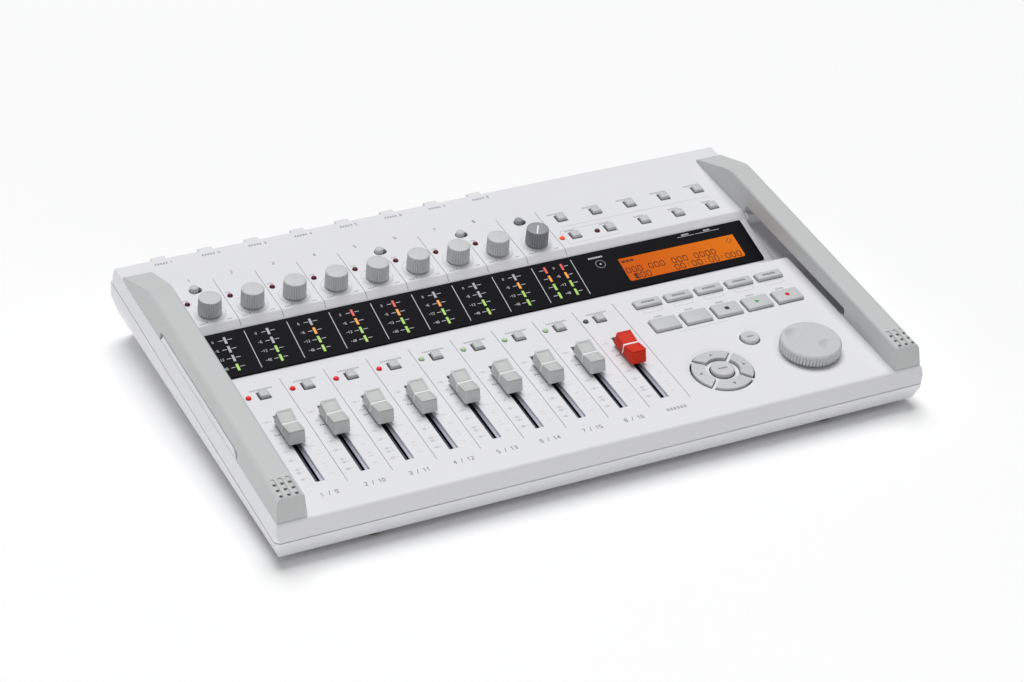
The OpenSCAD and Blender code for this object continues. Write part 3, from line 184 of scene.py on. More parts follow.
class Nodes:
    """A material's node tree with short ways to add and join nodes."""

    def __init__(self, name):
        self.material = bpy.data.materials.new(name)
        self.material.use_nodes = True
        self.tree = self.material.node_tree
        self.shader = self.tree.nodes["Principled BSDF"]

    def add(self, kind, **values):
        node = self.tree.nodes.new(kind)
        for key, value in values.items():
            if key in node.inputs:
                node.inputs[key].default_value = value
            else:
                setattr(node, key, value)
        return node

    def join(self, output, target):
        self.tree.links.new(output, target)

    def feed(self, name, output):
        """Joins an output to the shader's input of that name."""
        self.join(output, self.shader.inputs[name])

    def set(self, **values):
        for key, value in values.items():
            self.shader.inputs[key.replace("_", " ")].default_value = value

    def noise(self, scale, detail=2.0):
        place = self.add("ShaderNodeTexCoord")
        texture = self.add("ShaderNodeTexNoise", Scale=scale, Detail=detail)
        self.join(place.outputs["Object"], texture.inputs["Vector"])
        return texture.outputs["Fac"]

    def between(self, factor, low, high):
        """A colour that runs from low to high with the factor."""
        mix = self.add("ShaderNodeMix", data_type="RGBA")
        self.join(factor, mix.inputs["Factor"])
        for socket in mix.inputs:
            if socket.type == "RGBA":
                socket.default_value = low if socket.identifier.startswith("A") else high
        return next(socket for socket in mix.outputs if socket.type == "RGBA")

    def along(self, axis, low, high):
        """A factor that runs from 0 to 1 between two places in millimetres along an axis."""
        place = self.add("ShaderNodeTexCoord")
        split = self.add("ShaderNodeSeparateXYZ")
        self.join(place.outputs["Object"], split.inputs["Vector"])
        reach = self.add("ShaderNodeMapRange")
        reach.inputs["From Min"].default_value = low * MM
        reach.inputs["From Max"].default_value = high * MM
        self.join(split.outputs[axis], reach.inputs["Value"])
        return reach.outputs["Result"]

    def span(self, factor, low, high):
        """A number that runs from low to high with the factor."""
        reach = self.add("ShaderNodeMapRange")
        reach.inputs["To Min"].default_value = low
        reach.inputs["To Max"].default_value = high
        self.join(factor, reach.inputs["Value"])
        return reach.outputs["Result"]


def moulded(name, colour, rough=0.5, cloud=0.03, grain=1400.0, bump=0.08, soft=0.0, gloss=0.3):
    """Moulded plastic: a faint cloud in its colour, a fine grain, and soft edges."""
    m = Nodes(name)
    m.feed("Base Color", m.between(m.noise(CLOUD_SCALE), *shades(colour, (1 - cloud, 1 + cloud))))
    m.feed("Roughness", m.span(m.noise(ROUGH_SCALE), rough - ROUGH_SPREAD, rough + ROUGH_SPREAD))
    m.set(Specular_IOR_Level=gloss)
    lumps = m.add("ShaderNodeBump", Strength=bump, Distance=GRAIN_DEPTH)
    m.join(m.noise(grain, GRAIN_DETAIL), lumps.inputs["Height"])
    if soft:
        edge = m.add("ShaderNodeBevel", samples=BEVEL_SAMPLES, Radius=soft * MM)
        m.join(edge.outputs["Normal"], lumps.inputs["Normal"])
    m.feed("Normal", lumps.outputs["Normal"])
    return m.material


def lamp(name, colour, glow):
    """A lit or dark lens, slightly uneven, that glows with that strength."""
    m = Nodes(name)
    lens = m.between(m.noise(LENS_SCALE), *shades(colour, LENS_SHADES))
    m.feed("Base Color", lens)
    m.feed("Emission Color", lens)
    m.set(Emission_Strength=glow, Roughness=0.3, Specular_IOR_Level=0.3)
    return m.material


def printed(name, colour):
    """Screen-printed ink, slightly uneven."""
    m = Nodes(name)
    m.feed("Base Color", m.between(m.noise(INK_SCALE), *shades(colour, INK_SHADES)))
    m.set(Roughness=0.6, Specular_IOR_Level=0.2)
    return m.material


def metal(name, colour, rough):
    """Plated sheet with brushed roughness."""
    m = Nodes(name)
    m.feed("Base Color", m.between(m.noise(PLATE_SCALE), *shades(colour, PLATE_SHADES)))
    m.feed("Roughness", m.span(m.noise(BRUSH_SCALE), rough - BRUSH_SPREAD, rough + BRUSH_SPREAD))
    m.set(Metallic=1.0)
    return m.material


def backlit(name, dim, bright, low, high):
    """A lit display that grows brighter from low to high along X."""
    m = Nodes(name)
    reach = m.along("X", low, high)
    m.feed("Base Color", m.between(reach, scaled(dim, LCD_BASE), scaled(bright, LCD_BASE)))
    m.feed("Emission Color", m.between(reach, dim, bright))
    m.set(Emission_Strength=LCD_GLOW, Specular_IOR_Level=0.03)
    m.feed("Roughness", m.span(m.noise(SHEEN_SCALE), *LCD_ROUGH))
    return m.material


def slot_sheet(name, near, far, low, high):
    """The face of the lips inside the fader slots, with painted shade that deepens from low to high along Y.
    """
    m = Nodes(name)
    m.feed("Base Color", m.between(m.along("Y", low, high), near, far))
    m.feed("Roughness", m.span(m.noise(SHEEN_SCALE), *LIP_ROUGH))
    m.set(Specular_IOR_Level=0.1)
    return m.material


# Span along Y over which the painted shade in the fader slots deepens
SLOT_SHADE_Y = (-94, -60)
SATIN = {"rough": 0.45, "cloud": 0.02}
CASE_WHITE = moulded("case plastic", tone(229, 229, 233), cloud=0.012, soft=0.8)
HANDLE_GREY = moulded("handle plastic", tone(197, 199, 199), rough=0.55, cloud=0.015, soft=0.6)
KEY_GREY = moulded("key plastic", tone(200, 201, 203), **SATIN)
PALE_KEY = moulded("pale key plastic", tone(204, 204, 208), **SATIN)
KNOB_LIGHT = moulded("light knob plastic", tone(205, 206, 207), cloud=0.02)
KNOB_DARK = moulded("dark knob plastic", tone(150, 152, 158), cloud=0.02)
CAP_GREY = moulded("fader cap plastic", tone(198, 200, 199), **SATIN)
CAP_RED = moulded("red cap plastic", tone(216, 54, 34), rough=0.45, cloud=0.03, gloss=0.1)
RIB_GREY = moulded("cap rib", tone(238, 239, 238), **SATIN)
POINTER_GREY = moulded("knob pointer", tone(210, 211, 212), **SATIN)
RIB_WHITE = moulded("white cap rib", tone(245, 240, 240), **SATIN)
WINDOW_BLACK = moulded("display window", tone(22, 22, 26), rough=0.35, cloud=0.05, bump=0.02, gloss=0.02)
JACK_BLACK = moulded("jack plastic", tone(38, 38, 40), cloud=0.08)
# Lit and shaded copies of one slot lip: painted light for the right lips, painted shade for the left, both
# darkening towards the rear of the slots
SLOT_PAINTED_LIGHT = slot_sheet("slot lip with painted light", tone(205, 209, 220), tone(92, 96, 108), *SLOT_SHADE_Y)
SLOT_PAINTED_SHADE = slot_sheet("slot lip with painted shade", tone(96, 99, 110), tone(30, 31, 36), *SLOT_SHADE_Y)
CAPSULE_BLACK = moulded("capsule felt", tone(16, 16, 20), rough=0.8, cloud=0.1, gloss=0.1)
RUBBER = moulded("rubber", tone(45, 45, 46), rough=0.85, cloud=0.1, grain=700.0, bump=0.3)
BOARD_GREEN = moulded("board lacquer", tone(45, 105, 70), rough=0.35, cloud=0.1)
STEEL = metal("plated steel", tone(190, 190, 194), 0.35)
INK_DARK = printed("dark print", tone(118, 118, 128))
INK_SOFT = printed("soft print", tone(174, 174, 182))
INK_BOLD = printed("bold print", tone(58, 58, 70))
INK_PALE = printed("pale print", tone(198, 198, 206))
INK_WHITE = printed("white print", tone(214, 214, 220))
INK_GREY = printed("grey print", tone(120, 120, 126))
INK_LCD = printed("display digits", tone(104, 40, 8))
INK_GREEN = printed("green print", tone(70, 160, 75))
INK_RED = printed("red print", tone(205, 45, 45))
LCD_ORANGE = backlit("display light", tone(208, 92, 16), tone(226, 118, 20), lcd_low.x, lcd_high.x)
LED_GREEN = lamp("green bar", tone(160, 205, 84), 0.2)
LED_ORANGE = lamp("orange bar", tone(238, 150, 34), 0.2)
LED_RED = lamp("red bar", tone(210, 66, 56), 0.2)
LED_OFF = lamp("unlit bar", tone(172, 172, 184), 0.0)
LENS_RED = lamp("red lamp", tone(222, 26, 28), 0.3)
LENS_GREEN = lamp("green lamp", tone(165, 198, 152), 0.2)
LENS_DARK = lamp("dark lamp", tone(92, 94, 98), 0.0)
LENS_PEAK = lamp("unlit peak lamp", tone(92, 4, 18), 0.0)
LENS_ORANGE = lamp("orange lamp", tone(240, 90, 30), 0.4)
LENS_MAROON = lamp("unlit status lamp", tone(84, 20, 26), 0.0)


# Pieces

def piece(name, mesh, matrix, body, material, smooth=True):
    """Makes an object of a bmesh given in millimetres and lets it ride on a body."""
    bmesh.ops.transform(mesh, matrix=Matrix.Scale(MM, 4) @ matrix, verts=mesh.verts)
    bmesh.ops.recalc_face_normals(mesh, faces=mesh.faces)
    data = bpy.data.meshes.new(name)
    mesh.to_mesh(data)
    mesh.free()
    for polygon in data.polygons:
        polygon.use_smooth = smooth
    data.materials.append(material)
    obj = bpy.data.objects.new(name, data)
    bpy.context.scene.collection.objects.link(obj)
    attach(obj, body)
    return obj


def sharpen(obj, angle):
    """Keeps edges steeper than the angle crisp under smooth shading."""
    mesh = bmesh.new()
    mesh.from_mesh(obj.data)
    for edge in mesh.edges:
        edge.smooth = len(edge.link_faces) == 2 and edge.calc_face_angle(0) < math.radians(angle)
    mesh.to_mesh(obj.data)
    mesh.free()


def top_edges(mesh, verts, low):
    """Edges among those vertices that lie off the low end."""
    chosen = set(verts)
    return [edge for edge in mesh.edges
            if all(v in chosen for v in edge.verts) and any(v.co.z > low + TINY for v in edge.verts)]


def soften(mesh, edges, offset, steps):
    """Rounds those edges."""
    bmesh.ops.bevel(mesh, geom=edges, offset=offset, segments=steps, profile=0.5, affect="EDGES")


def add_block(mesh, low, high, bevel, steps=3):
    """A block with soft edges everywhere but around its foot."""
    centre = (low + high) / 2
    place = Matrix.Translation(centre) @ Matrix.Diagonal((*(high - low), 1))
    made = bmesh.ops.create_cube(mesh, size=1, matrix=place)
    soften(mesh, top_edges(mesh, made["verts"], low.z), bevel, steps)


def add_lathe(mesh, rings, count, ridge=lambda share, z: 0.0):
    """A turned shape: rings of (radius, height), each radius changed by a ridge for its share of a turn."""
    loops = []
    for radius, z in rings:
        loop = []
        for k in range(count):
            angle = math.tau * k / count
            reach = radius + ridge(k / count, z)
            loop.append(mesh.verts.new((reach * math.cos(angle), reach * math.sin(angle), z)))
        loops.append(loop)
    for lower, upper in zip(loops, loops[1:]):
        for k in range(count):
            mesh.faces.new((lower[k], lower[(k + 1) % count], upper[(k + 1) % count], upper[k]))
    mesh.faces.new(loops[-1])
    mesh.faces.new(list(reversed(loops[0])))


def rim(radius, top, profile):
    """Rings of a rim, from pairs of how far in and how far down each one lies."""
    return [(radius - inward, top - drop) for inward, drop in profile]


def flutes(count, depth, end, fade):
    """Grooves round a turned shape, which fade out below the height of their end."""
    def ridge(share, z):
        faded = min(max((end - z) / fade, 0.0), 1.0)
        return -depth * faded * (1 - abs(math.sin(math.pi * count * share)))
    return ridge


def turned_size(node):
    """Middle, radius, foot and top of a round node above the panel."""
    low, high = above_panel(node)
    return (low + high) / 2, (high.x - low.x) / 2, low.z, high.z


def moved(x, y, z=0.0, turn=0.0):
    """The panel's frame, moved and turned about its normal."""
    return PANEL @ Matrix.Translation((x, y, z)) @ Matrix.Rotation(math.radians(turn), 4, "Z")


KEY_FOOT = 1.5
KEY_SOFT = 0.5
# Radius of the small flat in the middle of a turned top
LATHE_EYE = 0.3


def key_group(node, inset, material):
    """Keys with soft edges in place of a node of keys, without their hidden flanges."""
    mesh = bmesh.new()
    for low, high in islands(node):
        foot = Vector((low.x + inset, low.y + inset, PANEL_Z - KEY_FOOT))
        head = Vector((high.x - inset, high.y - inset, high.z))
        add_block(mesh, foot, head, KEY_SOFT)
    obj = piece(node + "_caps", mesh, PANEL, node, material)
    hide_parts(node)


FLANGE_OUT = 0.9
SMALL_KEY_INSET = 1.3
for key_node in ("marker_keys",) + TRANSPORT_NODES:
    key_group(key_node, FLANGE_OUT, KEY_GREY)
for key_node in ("track_keys", "menu_keys_upper", "menu_keys_lower"):
    key_group(key_node, SMALL_KEY_INSET, KEY_GREY)


ROUND_KEY_INSET = 0.25
ROUND_KEY_RIM = ((0, 0.9), (0.12, 0.45), (0.45, 0.12), (0.9, 0), (2.0, 0.05))
ROUND_KEY_SEGMENTS = 64
ROUND_KEY_HOLLOW = 0.22
HOLLOW_SHARE = 0.4
HOLLOW_DEPTH = 0.25


def round_key(node, material):
    """A round key with a soft rim and a slightly hollow top."""
    place, full_radius, _, top = turned_size(node)
    radius = full_radius - ROUND_KEY_INSET
    rings = [(radius, PANEL_Z - KEY_FOOT)] + rim(radius, top, ROUND_KEY_RIM)
    rings += [(radius * HOLLOW_SHARE, top - ROUND_KEY_HOLLOW), (LATHE_EYE, top - HOLLOW_DEPTH)]
    mesh = bmesh.new()
    add_lathe(mesh, rings, ROUND_KEY_SEGMENTS)
    obj = piece(node + "_cap", mesh, moved(place.x, place.y), node, material)
    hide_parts(node)


round_key("enter_key", PALE_KEY)
round_key("exit_key", KEY_GREY)

RING_GAP = 2.4
ARC_STEPS = 24
ARC_FALL = 0.7
ARC_INSET = 0.6
ARC_LOWER = 0.5
# Corners are angles in radians, crisp edges in degrees
ARC_CORNER = 0.5
ARC_CRISP = 50
pad = middle("enter_key")


def ring_size(node):
    """Inner and outer radius of the cursor ring, and the height of its top."""
    points = [p - pad for p in points_in(PANEL, node) if p.z > PANEL_Z + PANEL_CLEAR]
    reaches = [math.hypot(p.x, p.y) for p in points]
    return min(reaches), max(reaches) - ARC_INSET, max(p.z for p in points) + pad.z - ARC_LOWER


def cursor_key(node, turn):
    """A quarter of the cursor ring, whose top falls towards its outer edge."""
    inner, outer, top = ring_size(node)
    levels = [(inner, PANEL_Z - KEY_FOOT), (inner, top), (outer, top - ARC_FALL), (outer, PANEL_Z - KEY_FOOT)]
    mesh = bmesh.new()
    rows = []
    for radius, z in levels:
        half = math.acos(RING_GAP / (2 * radius)) - math.pi / 4
        angles = [half * (2 * k / ARC_STEPS - 1) for k in range(ARC_STEPS + 1)]
        rows.append([mesh.verts.new((radius * math.cos(a), radius * math.sin(a), z)) for a in angles])
    for lower, upper in zip(rows, rows[1:] + rows[:1]):
        for k in range(ARC_STEPS):
            mesh.faces.new((lower[k], lower[k + 1], upper[k + 1], upper[k]))
    mesh.faces.new([row[0] for row in rows])
    mesh.faces.new([row[-1] for row in reversed(rows)])
    edges = [e for e in mesh.edges
             if all(v.co.z > PANEL_Z for v in e.verts) and e.calc_face_angle(0) > ARC_CORNER]
    soften(mesh, edges, KEY_SOFT, 3)
    obj = piece(node + "_cap", mesh, moved(pad.x, pad.y, 0, turn), node, KEY_GREY)
    sharpen(obj, ARC_CRISP)
    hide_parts(node)


for quarter, cursor_node in enumerate(CURSOR_NODES):
    cursor_key(cursor_node, 90 * quarter)

# Fader caps
CAP_LIFT = 2.0
CAP_LEAN = 1.6
CAP_WIDER = 0.25
SADDLE_DROP = 1.7
CAP_FOOT_IN = 0.4
CAP_FOOT_H = 2
CAP_SOFT = 1.0
CAP_CORNER = 0.45
CAP_FOOT_CLEAR = 0.1
CAP_CRISP = 40
SLOPE_FACES = (2, 3)
SLOPE_BORDER = 1.3
SLOPE_EDGE = 0.4
SLOPE_SINK = 0.15
LEVER = Vector((0.6, 2.5, 6.0))
LEVER_SOFT = 0.1
RIB_HALF = 0.6
RIB_OUT = 0.1
RIB_FOOT = 0.3
RIB_RISE = 0.22
RIB_SOFT = 0.25


def cap_profile(end, low, top):
    """Half of the cap's outline along the slot, from the front foot to the saddle."""
    foot_end = (-end + CAP_FOOT_IN, low + CAP_FOOT_H)
    return [(-end, low), foot_end, (-end + CAP_LEAN, top), (0, top - SADDLE_DROP)]


def fader_cap(node, material, rib_material):
    """A saddle-shaped cap with soft edges, a sunk panel on each slope and a line across the saddle."""
    low, high = above_panel(node)
    place = (low + high) / 2
    end, foot, top = (high.y - low.y) / 2, PANEL_Z + CAP_LIFT, high.z
    half_w = (high.x - low.x) / 2
    front = cap_profile(end, foot, top)
    outline = front + [(-y, z) for y, z in reversed(front[:-1])]

    def width(z):
        return half_w - CAP_WIDER * (z - foot) / (top - foot)

    mesh = bmesh.new()
    sides = [[mesh.verts.new((side * width(z), y, z)) for y, z in outline] for side in (-1, 1)]
    count = len(outline)
    slopes = []
    for k in range(count):
        after = (k + 1) % count
        face = mesh.faces.new((sides[0][k], sides[0][after], sides[1][after], sides[1][k]))
        if k in SLOPE_FACES:
            slopes.append(face)
    mesh.faces.new(list(reversed(sides[0])))
    mesh.faces.new(sides[1])
    bmesh.ops.recalc_face_normals(mesh, faces=mesh.faces)
    bmesh.ops.inset_individual(mesh, faces=slopes, thickness=SLOPE_BORDER, depth=0)
    bmesh.ops.inset_individual(mesh, faces=slopes, thickness=SLOPE_EDGE, depth=-SLOPE_SINK)
    hard = [e for e in mesh.edges if e.calc_face_angle(0) > CAP_CORNER and e.is_convex
            and any(v.co.z > foot + CAP_FOOT_CLEAR for v in e.verts)]
    soften(mesh, hard, CAP_SOFT, 4)
    lever_low = Vector((-LEVER.x, -LEVER.y, PANEL_Z - LEVER.z))
    add_block(mesh, lever_low, Vector((LEVER.x, LEVER.y, foot + 1)), LEVER_SOFT, 1)
    body = piece(node + "_cap", mesh, moved(place.x, place.y), node, material)
    sharpen(body, CAP_CRISP)
    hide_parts(node)

    saddle = top - SADDLE_DROP
    rib = bmesh.new()
    foot_reach, saddle_reach = width(foot) + RIB_OUT, width(saddle) + RIB_OUT
    corners = [(-foot_reach, foot + RIB_FOOT), (foot_reach, foot + RIB_FOOT),
               (saddle_reach, saddle + RIB_RISE), (-saddle_reach, saddle + RIB_RISE)]
    ends = [[rib.verts.new((x, y, z)) for x, z in corners] for y in (-RIB_HALF, RIB_HALF)]
    rib.faces.new(ends[0])
    rib.faces.new(list(reversed(ends[1])))
    for k in range(4):
        rib.faces.new((ends[0][k], ends[1][k], ends[1][(k + 1) % 4], ends[0][(k + 1) % 4]))
    upright = [e for e in rib.edges if any(v.co.z > saddle for v in e.verts)]
    soften(rib, upright, RIB_SOFT, 2)
    piece(node + "_line", rib, moved(place.x, place.y), node, rib_material)


for fader_node in fader_nodes[:-1]:
    fader_cap(fader_node, CAP_GREY, RIB_GREY)
fader_cap("master_fader", CAP_RED, RIB_WHITE)

# Lips inside the fader slots, on both sides of the levers: the left lips carry painted shade, the right lips
# painted light
LIP_T = 0.3
LIP_SOFT = 0.1
LIP_DROP = 1.2
LIP_INNER = 0.65
LIP_OUTER = 2.35
SLOT_Y = (-90.9, -35.3)


def slot_lips(name, side, material):
    """The lips on one side of every fader slot."""
    mesh = bmesh.new()
    for x in channel_xs:
        near, far = sorted((x + side * LIP_INNER, x + side * LIP_OUTER))
        low = Vector((near, SLOT_Y[0], PANEL_Z - LIP_DROP - LIP_T))
        add_block(mesh, low, Vector((far, SLOT_Y[1], PANEL_Z - LIP_DROP)), LIP_SOFT, 1)
    piece(name, mesh, PANEL, "case", material, smooth=False)


# Left lips in painted shade, right lips in painted light
slot_lips("slot_lips_left", -1, SLOT_PAINTED_SHADE)
slot_lips("slot_lips_right", 1, SLOT_PAINTED_LIGHT)

# Knobs and dial
KNOB_RIDGES = 28
KNOB_TURN = 150.0
RIDGE_STEPS = 6
KNOB_RIDGE_DEPTH = 0.8
KNOB_RIM = ((0.28, 0.7), (0.32, 0.4), (0.45, 0.15), (0.7, 0))
KNOB_FOOT = 0.2
KNOB_WAIST_IN = 0.15
KNOB_WAIST_H = 5
KNOB_TOP_SHARE = 0.5
RIDGE_END = 0.35
RIDGE_FADE = 0.3
TURNED_CRISP = 45
POINTER = Vector((0.9, 8.2, 0.06))
POINTER_SOFT = 0.04
POINTER_BACK = 2.7


def knob(node, material, pointer_material):
    """A ridged knob with a soft rim and a pointer line across its top."""
    place, radius, base, top = turned_size(node)
    rings = [(radius - KNOB_FOOT, base), (radius, base + KNOB_FOOT),
             (radius - KNOB_WAIST_IN, base + KNOB_WAIST_H)]
    rings += rim(radius, top, KNOB_RIM) + [(radius * KNOB_TOP_SHARE, top), (LATHE_EYE, top)]
    mesh = bmesh.new()
    ridge = flutes(KNOB_RIDGES, KNOB_RIDGE_DEPTH, top - RIDGE_END, RIDGE_FADE)
    add_lathe(mesh, rings, KNOB_RIDGES * RIDGE_STEPS, ridge)
    body = piece(node + "_body", mesh, moved(place.x, place.y), node, material)
    sharpen(body, TURNED_CRISP)
    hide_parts(node)
    line = bmesh.new()
    add_block(line, Vector((-POINTER.x / 2, -POINTER_BACK, top - POINTER.z)),
              Vector((POINTER.x / 2, POINTER.y - POINTER_BACK, top + POINTER.z)), POINTER_SOFT, 1)
    piece(node + "_pointer", line, moved(place.x, place.y, 0, KNOB_TURN), node, pointer_material)


for knob_node in knob_nodes[:-1]:
    knob(knob_node, KNOB_LIGHT, POINTER_GREY)
knob("balance_knob", KNOB_DARK, RIB_WHITE)

DIAL_RIBS = 56
DIAL_STEPS = 6
DIAL_RIB_DEPTH = 1.0
DIAL_RIM = ((0, 1.6), (0.1, 1.2), (1.0, 0.18), (1.4, 0))
DIAL_FOOT = 0.4
DIAL_RING_STEP = 0.4
DIAL_RINGS = 35
DIAL_RIB_END = 1.1
DIAL_RIB_FADE = 0.4
DIMPLE_R = 5.2
DIMPLE_REACH = 9.7
DIMPLE_DEPTH = 1.6
DIMPLE_ANGLE = -50.0


def jog_dial():
    """The dial: a ribbed side, a chamfered rim and two finger dimples."""
    place, radius, base, top = turned_size("jog_dial")
    rings = [(radius - DIAL_FOOT, base), (radius, base + DIAL_FOOT)] + rim(radius, top, DIAL_RIM)
    flat = radius - DIAL_RIM[-1][0]
    rings += [(flat - DIAL_RING_STEP * (k + 1), top) for k in range(DIAL_RINGS)]
    mesh = bmesh.new()
    ribs = flutes(DIAL_RIBS, DIAL_RIB_DEPTH, top - DIAL_RIB_END, DIAL_RIB_FADE)
    add_lathe(mesh, rings, DIAL_RIBS * DIAL_STEPS, ribs)
    for vertex in mesh.verts:
        if vertex.co.z < top - TINY:
            continue
        for turn in (DIMPLE_ANGLE, DIMPLE_ANGLE + 180):
            centre = DIMPLE_REACH * Vector((math.cos(math.radians(turn)), math.sin(math.radians(turn))))
            share = (vertex.co.xy - centre).length / DIMPLE_R
            if share < 1:
                vertex.co.z -= DIMPLE_DEPTH * (1 - share ** 2)
    obj = piece("jog_dial_body", mesh, moved(place.x, place.y), "jog_dial", KEY_GREY)
    sharpen(obj, TURNED_CRISP)
    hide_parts("jog_dial")


jog_dial()

NUB_RIM = ((0, 0.7), (0.2, 0.25), (0.6, 0))
NUB_FOOT = 2.0
NUB_SEGMENTS = 40


def slide_nub(node, material):
    """A round slide nub with a soft top."""
    place, radius, _, top = turned_size(node)
    rings = [(radius, PANEL_Z - NUB_FOOT)] + rim(radius, top, NUB_RIM) + [(LATHE_EYE, top)]
    mesh = bmesh.new()
    add_lathe(mesh, rings, NUB_SEGMENTS)
    obj = piece(node + "_nub", mesh, moved(place.x, place.y), node, material)
    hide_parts(node)


for switch_node in switch_nodes[:-1]:
    slide_nub(switch_node, KEY_GREY)
slide_nub(switch_nodes[-1], KNOB_DARK)


# CAD nodes that stay, with their materials

def dress(material, *names):
    """Gives those CAD nodes one material."""
    for name in names:
        for slot in nodes[name].material_slots:
            slot.material = material


dress(CASE_WHITE, "top_case", "bottom_case", "battery_door")
dress(HANDLE_GREY, "left_handle", "right_handle")
dress(WINDOW_BLACK, "display_window")
dress(CAPSULE_BLACK, "fader_units", "mic_capsules")
dress(BOARD_GREEN, "control_board", "knob_board", "main_board")
dress(STEEL, "rotary_pots", "switch_units", "port_sockets", "case_screws")
dress(JACK_BLACK, "jack_sockets", "power_switch")
dress(KNOB_DARK, "phones_volume")
dress(RUBBER, "rubber_feet")


def paint(node, choose):
    """Gives each face of a CAD node the material that choose picks for its middle, in metres."""
    data = nodes[node].data
    data.materials.clear()
    order = []
    for polygon in data.polygons:
        material = choose(polygon.center)
        if material not in order:
            order.append(material)
            data.materials.append(material)
        polygon.material_index = order.index(material)


def display_face(centre):
    """The display's lit face, or the board that carries it."""
    return LCD_ORANGE if (STRIP.inverted() @ (centre / MM)).z > -LCD_PAINT_DEPTH else BOARD_GREEN


TAB_LOW_Z = 37.0
JACK_REAR_Y = 100.0


def jack_face(centre):
    """The pale release tab over an input jack, or the jack itself."""
    return CASE_WHITE if centre.z / MM > TAB_LOW_Z and centre.y / MM > JACK_REAR_Y else JACK_BLACK


paint("display_module", display_face)
paint("combo_jacks", jack_face)

# Level meters, from the top bar down: g green, o orange, r red, x unlit
METERS = ["xxxg", "xxgg", "xogg", "rogg", "rogg", "xogg", "xxgg", "xogg", "rogg", "rogg"]
BAR_COLOURS = {"g": LED_GREEN, "o": LED_ORANGE, "r": LED_RED, "x": LED_OFF}
BARS = 4
BAR_WIDEST = 2.0
BAR_S = 9.7
BAR_PITCH = 6.4
BAR_REACH = 1.5
STRIP_HALF = 16
STRIP_DEPTH = 5
STRIP_RISE = 0.5
knob_xs = [place.x for place in knob_places]
lamp_ends = islands("leds")
bar_xs = [(low.x + high.x) / 2 for low, high in lamp_ends if high.x - low.x < BAR_WIDEST]
meter_xs = bar_xs[::BARS]
access = next(STRIP.inverted() @ PANEL @ ((low + high) / 2) for low, high in lamp_ends
              if high.z < PANEL_Z and high.x - low.x > BAR_WIDEST)


def lamp_face(centre):
    """The colour of the bar or lamp that a face belongs to."""
    at = STRIP.inverted() @ (centre / MM)
    on_strip = abs(at.y) < STRIP_HALF and -STRIP_DEPTH < at.z < STRIP_RISE
    column = min(range(len(meter_xs)), key=lambda k: abs(meter_xs[k] - at.x))
    if on_strip and abs(meter_xs[column] - at.x) < BAR_REACH:
        bar = round((BAR_S - at.y) / BAR_PITCH)
        return BAR_COLOURS[METERS[column][min(max(bar, 0), BARS - 1)]]
    return WINDOW_BLACK if on_strip else LENS_DARK


paint("leds", lamp_face)

# Lens domes on the panel's lamps
TRACK_Y = middle("track_keys").y
LAMP_OFFSET = 8.5
LAMP_R = 1.45
PEAK_BACK = 10.6
STATUS_FORWARD = 0.5
DOME_H = 0.9
DOME_BASE = 0.4
RED_TRACKS = 4
menu_xs = [((low + high) / 2).x for low, high in islands("menu_keys_lower")]
menu_lower_y = middle("menu_keys_lower").y
menu_upper_y = middle("menu_keys_upper").y
knob_y = knob_places[0].y


def domes(name, places, material):
    """Round lenses over some lamps."""
    mesh = bmesh.new()
    lens = Matrix.Diagonal((LAMP_R, LAMP_R, DOME_H, 1))
    for x, y in places:
        place = Matrix.Translation((x, y, PANEL_Z + DOME_BASE)) @ lens
        bmesh.ops.create_uvsphere(mesh, u_segments=24, v_segments=12, radius=1, matrix=place)
    piece(name, mesh, PANEL, "case", material)


track_places = [(x - LAMP_OFFSET, TRACK_Y) for x in channel_xs]
peak_places = [(x - LAMP_OFFSET, knob_y + PEAK_BACK) for x in channel_xs[:-1]]
status_y = menu_lower_y - STATUS_FORWARD
domes("track_lamps_red", track_places[:RED_TRACKS], LENS_RED)
domes("track_lamps_green", track_places[RED_TRACKS:CHANNELS], LENS_GREEN)
domes("track_lamp_master", track_places[CHANNELS:], LENS_DARK)
domes("peak_lamps", peak_places, LENS_PEAK)
domes("status_lamp_lit", [(menu_xs[0] - LAMP_OFFSET, status_y)], LENS_ORANGE)
domes("status_lamp_dark", [(menu_xs[1] - LAMP_OFFSET, status_y)], LENS_MAROON)


# Printed marks

